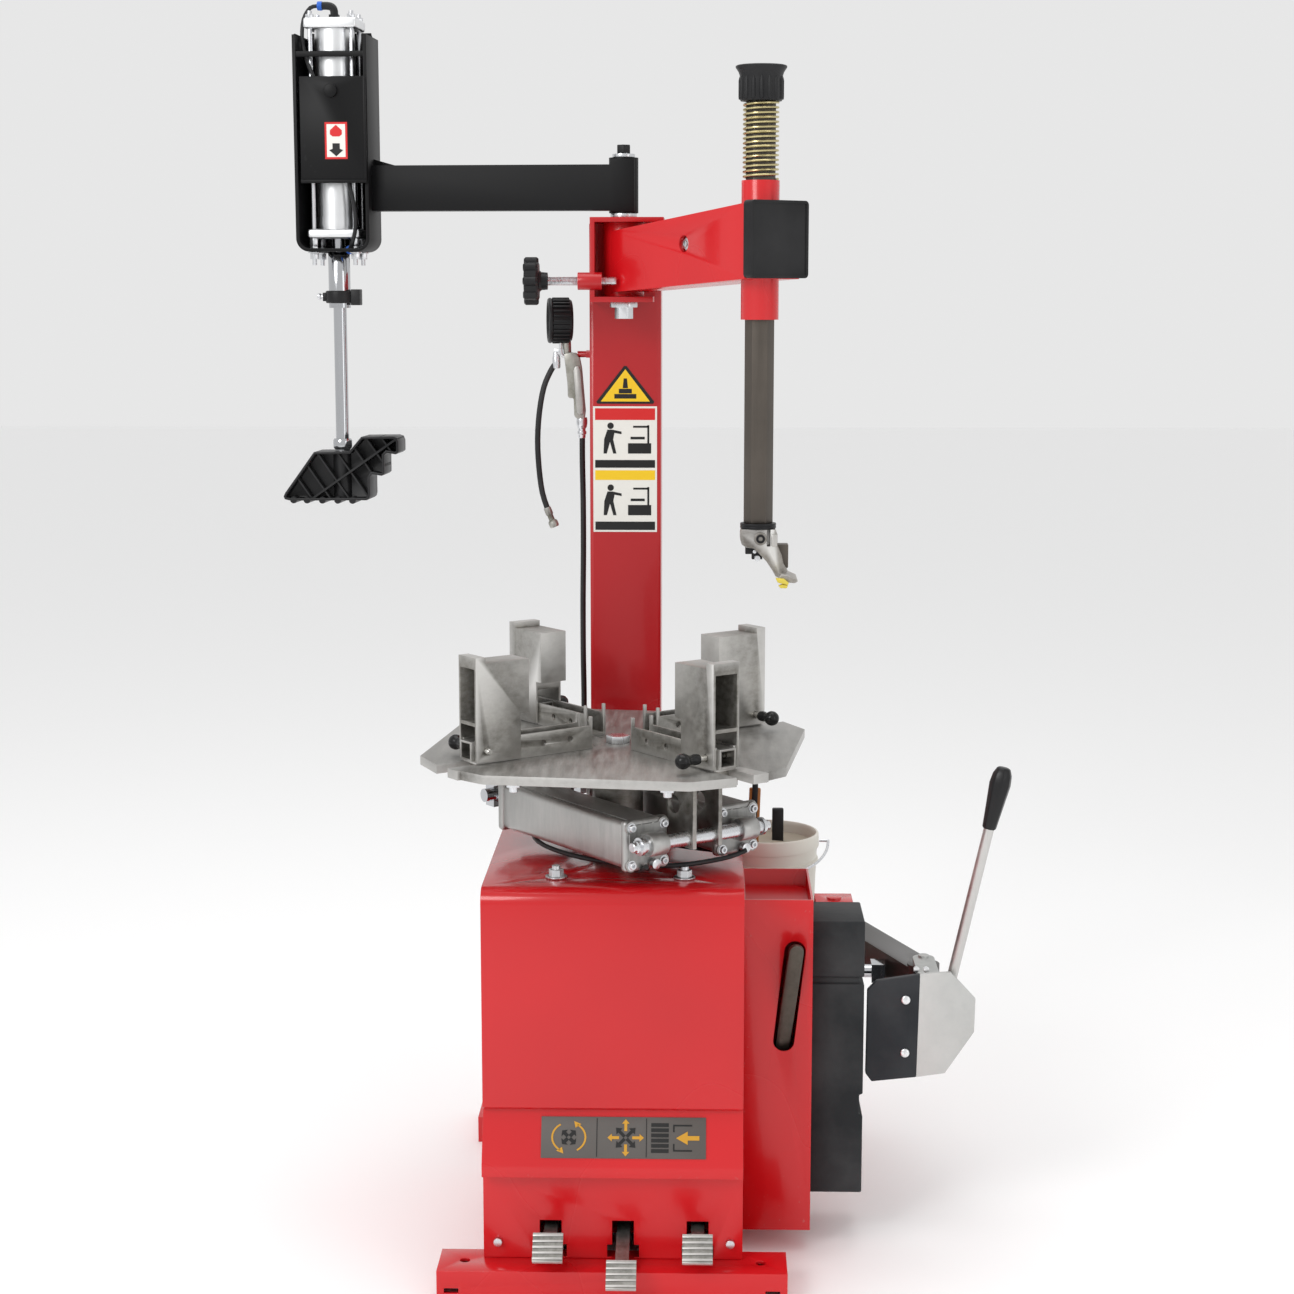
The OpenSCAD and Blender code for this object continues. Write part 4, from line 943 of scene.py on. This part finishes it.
def make_column_signs():
    y = COLUMN_FRONT - 0.1
    plate_xz("sign_triangle_edge", [(-43, 1193), (43, 1193), (45, 1196), (2, 1251), (-2, 1251),
        (-45, 1196)], y, "sign_black", "machine")
    plate_xz("sign_triangle", [(-38, 1196.5), (38, 1196.5), (0, 1246)], y - 0.5, "sign_yellow", "machine",
        0.3)
    picture = [drawn_xz("p", square(-17, 1201, 17, 1208), y - 1.1, y - 0.8), drawn_xz("p", square(-10, 1209,
        10, 1216), y - 1.1, y - 0.8), drawn_xz("p", [(-4, 1217), (4, 1217), (2.5, 1232), (-2.5, 1232)],
        y - 1.1, y - 0.8)]
    fitted(joined("sign_triangle_picture", picture), "sign_black", "machine")
    plate_xz("sign_panel", square(-50, 994, 49, 1189), y, "sign_white", "machine")
    dark = []
    plate_xz("sign_panel_red", square(-47, 1168, 46, 1186), y - 0.5, "sign_red", "machine", 0.3)
    plate_xz("sign_panel_yellow", square(-47, 1075, 46, 1090), y - 0.5, "sign_yellow", "machine", 0.3)
    for z0, z1 in ((1094, 1106), (997, 1010)):
        dark.append(drawn_xz("bar", square(-47, z0, 46, z1), y - 0.8, y - 0.5))
    for low in (1110, 1014):
        dark += [drawn_xz("table", square(4, low + 6, 40, low + 22), y - 0.8, y - 0.5), drawn_xz("post",
            square(34, low + 22, 37, low + 50), y - 0.8, y - 0.5), drawn_xz("arm", square(12, low + 46, 37,
            low + 49), y - 0.8, y - 0.5), drawn_xz("disc", square(8, low + 28, 30, low + 32), y - 0.8,
            y - 0.5), drawn_xz("worker", [(-34, low + 6), (-29, low + 6), (-24, low + 24), (-19, low + 6),
            (-14, low + 6), (-19, low + 28), (-17, low + 38), (-6, low + 36), (-6, low + 40),
            (-20, low + 43), (-28, low + 43), (-33, low + 28)], y - 0.8, y - 0.5), turned("hat", [(0, 0),
            (5, 0), (5, 0.3), (0, 0.3)], (-23, y - 0.8, low + 49), (0, 1, 0), 20)]
    fitted(joined("sign_panel_pictures", dark), "sign_black", "machine")


def make_control_icons():
    """Three pedal pictograms on the sloped plate: turn, clamp and bead breaker."""
    lean = math.atan(33 / 68)
    place = at(15, -248, 184) @ Matrix.Rotation(-lean, 4, "X")
    front = -1.8
    z = 38

    def face(points):
        return drawn_xz("mark", points, front - 0.4, front)

    def spoke(cx, angle, start, end, half, tip):
        a = math.radians(angle)
        out, side = Vector((math.cos(a), math.sin(a))), Vector((-math.sin(a), math.cos(a)))
        c = Vector((cx, z))
        line = [c + out * start + side * half, c + out * (end - tip) + side * half,
            c + out * (end - tip) + side * half * 2.6, c + out * end,
            c + out * (end - tip) - side * half * 2.6, c + out * (end - tip) - side * half,
            c + out * start - side * half]
        return face([(p.x, p.y) for p in line])

    def arc(cx, first, last, radius, wide):
        steps = 10
        rim = []
        for r in (radius, radius - wide):
            row = [math.radians(first + (last - first) * i / steps) for i in range(steps + 1)]
            points = [(cx + r * 1.15 * math.cos(a), z + r * math.sin(a)) for a in row]
            rim += points if r == radius else points[::-1]
        return face(rim)

    light = [arc(-75, 120, 240, 21, 2.2), arc(-75, -60, 60, 21, 2.2)]
    light += [face([(-92, 20), (-82, 16), (-84, 25)]), face([(-58, 56), (-68, 60), (-66, 51)])]
    light += [spoke(3, a, 9, 25, 2, 6) for a in (0, 90, 180, 270)]
    light += [face([(104, 35), (88, 35), (88, 29), (72, 38), (88, 47), (88, 41), (104, 41)])]
    dark = [spoke(-75, a, 2, 13, 2.4, 5) for a in (45, 135, 225, 315)]
    dark += [spoke(3, a, 2, 19, 2.2, 7) for a in (45, 135, 225, 315)]
    dark += [face(square(38, 18 + 7 * k, 62, 23 + 7 * k)) for k in range(6)]
    dark += [face([(68, 20), (94, 20), (94, 22), (70, 22), (70, 30), (68, 30)]), face([(68, 46), (70, 46),
        (70, 54), (94, 54), (94, 56), (68, 56)])]
    dark += [face(square(-37, 12, -36, 64)), face(square(31, 12, 32, 64))]
    grouped("pedal_marks_amber", light, place, "amber", "machine")
    grouped("pedal_marks_black", dark, place, "sign_black", "machine")


# ---------------------------------------------------------------- right side

def make_handle():
    """Round bar with a moulded eight-sided grip that widens upwards."""
    place = at(480, -34.4, 384) @ Matrix.Rotation(math.radians(12.4), 4, "Y")
    bar = turned("handle_bar", [(0, -14), (6.5, -14), (7.5, -12.5), (7.5, 240), (0, 240)], (0, 0, 0),
        steps=32)
    fitted(moved(bar, place), "alloy", "blade", ("blade_handle",))
    grip = turned("handle_grip", [(0, 230), (9, 230), (10.5, 232.5), (11, 240), (13.6, 272), (15.8, 297),
        (14, 311), (10, 320), (7, 321.5), (0, 321.5)], (0, 0, 0), steps=8)
    fitted(moved(grip, place), "grip", "blade", (), 1.2, 20)


def make_guard_screws():
    screws = []
    for z in (282, 361):
        screws.append(turned("screw", [(0, -56.2), (1.2, -56.2), (1.2, -55.6), (4.4, -55.6), (6.4, -54.4),
            (6.6, -53), (6.6, -50.8), (0, -50.8)], (414, 0, z), (0, 1, 0), 24))
    for x in (430, 444):
        screws.append(rod("bolt", (x, -38, 401), (x, -32, 401), 4.6, sides=6))
    fitted(joined("guard_screws", screws), "white_zinc", "blade", (), 0.3)


def make_pail():
    x, y = 222, 290
    wall = turned("pail_wall", [(0, 308), (70, 308), (72, 310), (78.6, 480), (81, 480.6), (81.5, 483),
        (81, 486.4), (79, 487), (79.6, 504), (82.2, 505), (82.6, 508), (82.2, 524), (81, 526.6),
        (78.6, 527), (77.2, 525), (77, 520), (70, 312), (0, 311)], (x, y, 0), steps=72)
    fitted(wall, "white_plastic", "bucket", ("bucket",))
    paste = turned("lube_paste", [(0, 505), (20, 507), (45, 503), (66, 506), (76.2, 509), (75, 470),
        (0, 470)], (x, y, 0), steps=56)
    fitted(paste, "paste", "bucket")
    stick = block("stick", (-9, 9), (-4, 4), (-130, 90))
    stick = moved(stick, at(201, 296, 505) @ Matrix.Rotation(math.radians(2),
        4, "Y"))
    fitted(stick, "brush_wood", "bucket", (), 2.4)
    bound = block("brush_binding", (-4.5, 4.5), (-5, 5), (20, 96))
    bound = moved(bound, at(201, 295, 505) @ Matrix.Rotation(math.radians(2),
        4, "Y"))
    fitted(bound, "plastic", "bucket", (), 1)
    stub = block("scraper_handle", (232, 250), (318, 330), (490, 556))
    fitted(stub, "plastic", "bucket", (), 2)


def make_stop_knob():
    """Lobed knob: eight rounded lobes, dished face and hub."""
    lobes = [turned("hub", [(0, -147), (10, -147), (14, -144.5), (24, -144), (28, -146), (30, -144),
        (30, -128), (27, -125), (16, -124), (13.4, -121), (12.6, -112), (6.7, -112), (6.7, -124),
        (0, -124)], STOP, (1, 0, 0), 48)]
    for k in range(8):
        angle = math.radians(45 * k)
        y, z = STOP[1] + 28.4 * math.cos(angle), STOP[2] + 28.4 * math.sin(angle)
        lobes.append(turned("lobe", [(0, -147), (4.6, -147), (7, -144.6), (7, -128), (4.8, -125.4),
            (0, -125.4)], (0, y, z), (1, 0, 0), 20))
    fitted(joined("stop_hand_knob", lobes), "plastic", "stop_knob", ("stop_knob",))


def make_thread():
    """Stop screw with its thread turned on the outer length."""
    profile = [(0, -112), (5.6, -112)]
    step = 0
    while -111 + step < -12:
        profile += [(6.5, -111 + step), (5.9, -110 + step)]
        step += 2
    profile += [(5.6, -10), (4.6, -9), (0, -9)]
    fitted(turned("stop_screw_thread", profile, STOP, (1, 0, 0), 24), "zinc", "stop_screw",
           ("stop_screw",), 0, 50)


def make_post_bolt():
    head = joined("post_bolt_head", [rod("head", (0, 272, 1568.5), (0, 272, 1581.5), 11, sides=6),
        turned("flange", [(0, 1566.5), (12.5, 1566.5), (12.5, 1568.6), (0, 1569)], (0, 272, 0))])
    fitted(head, "plastic", "machine", (), 0.8)


# ---------------------------------------------------------------- machine

place_camera()
FINISH = make_materials()
light_studio()
lay_floor()
chuck = make_gun()
hose_piece("tyre_hose_line", TYRE_HOSE, "tyre_hose")
hose_piece("feed_hose_line", FEED_HOSE, "feed_hose")

EASED = {
    "base_frame": (1.5, "red"), "cabinet_shell": (1.2, "red"), "side_housing": (1.2, "red"),
    "column": (1.5, "red_dark"), "pivot_bracket": (1.2, "red"), "swing_beam": (1.5, "red"),
    "bead_pad": (4, "pad"), "press_beam": (2, "black_paint"), "press_housing": (1.5, "black_paint"),
    "press_cover": (1.2, "black_paint"), "bead_arm": (3, "dark_paint"), "table_plate": (0.8, "table"),
    "jaw_1": (0.6, "jaw"), "jaw_2": (0.6, "jaw"), "jaw_3": (0.6, "jaw"), "jaw_4": (0.6, "jaw"),
    "bead_blade": (0.8, "blade"), "blade_guard": (1.2, "guard"), "hex_shaft": (0.8, "hex"),
    "pedal_left": (0.8, "pedal"), "pedal_middle": (0.8, "pedal"), "pedal_right": (0.8, "pedal"),
    "control_plate": (0.3, "plate"), "cabinet_screws": (0.5, "zinc"), "pivot_bolt": (0.6, "zinc"),
    "table_bolts": (0.5, "zinc"), "tyre_lever": (1.5, "lever"),
}
CARRIED = {
    "gearbox": "cast_iron", "drive_motor": "dark_paint", "drive_belt": "hose", "pedal_unit": "cast_iron",
    "bead_cylinder": "alloy", "table_spindle": "jaw", "worm_shaft": "jaw", "motor_pulley": "jaw",
    "clamp_rods": "chrome", "bead_rod": "chrome", "bucket_bail": "zinc",
}
for node, (width, finish) in EASED.items():
    softened(node, width, finish)
for node, finish in CARRIED.items():
    show(node, finish)

make_mount_head()
make_spring()
make_shaft_cap()
make_arm_trim()
make_press_cylinder()
make_press_label()
make_press_rod()
make_press_foot()
make_gauge()
make_clamp_cylinders()
make_lock_pins()
make_column_signs()
make_control_icons()
make_handle()
make_guard_screws()
make_pail()
make_stop_knob()
make_thread()
make_post_bolt()
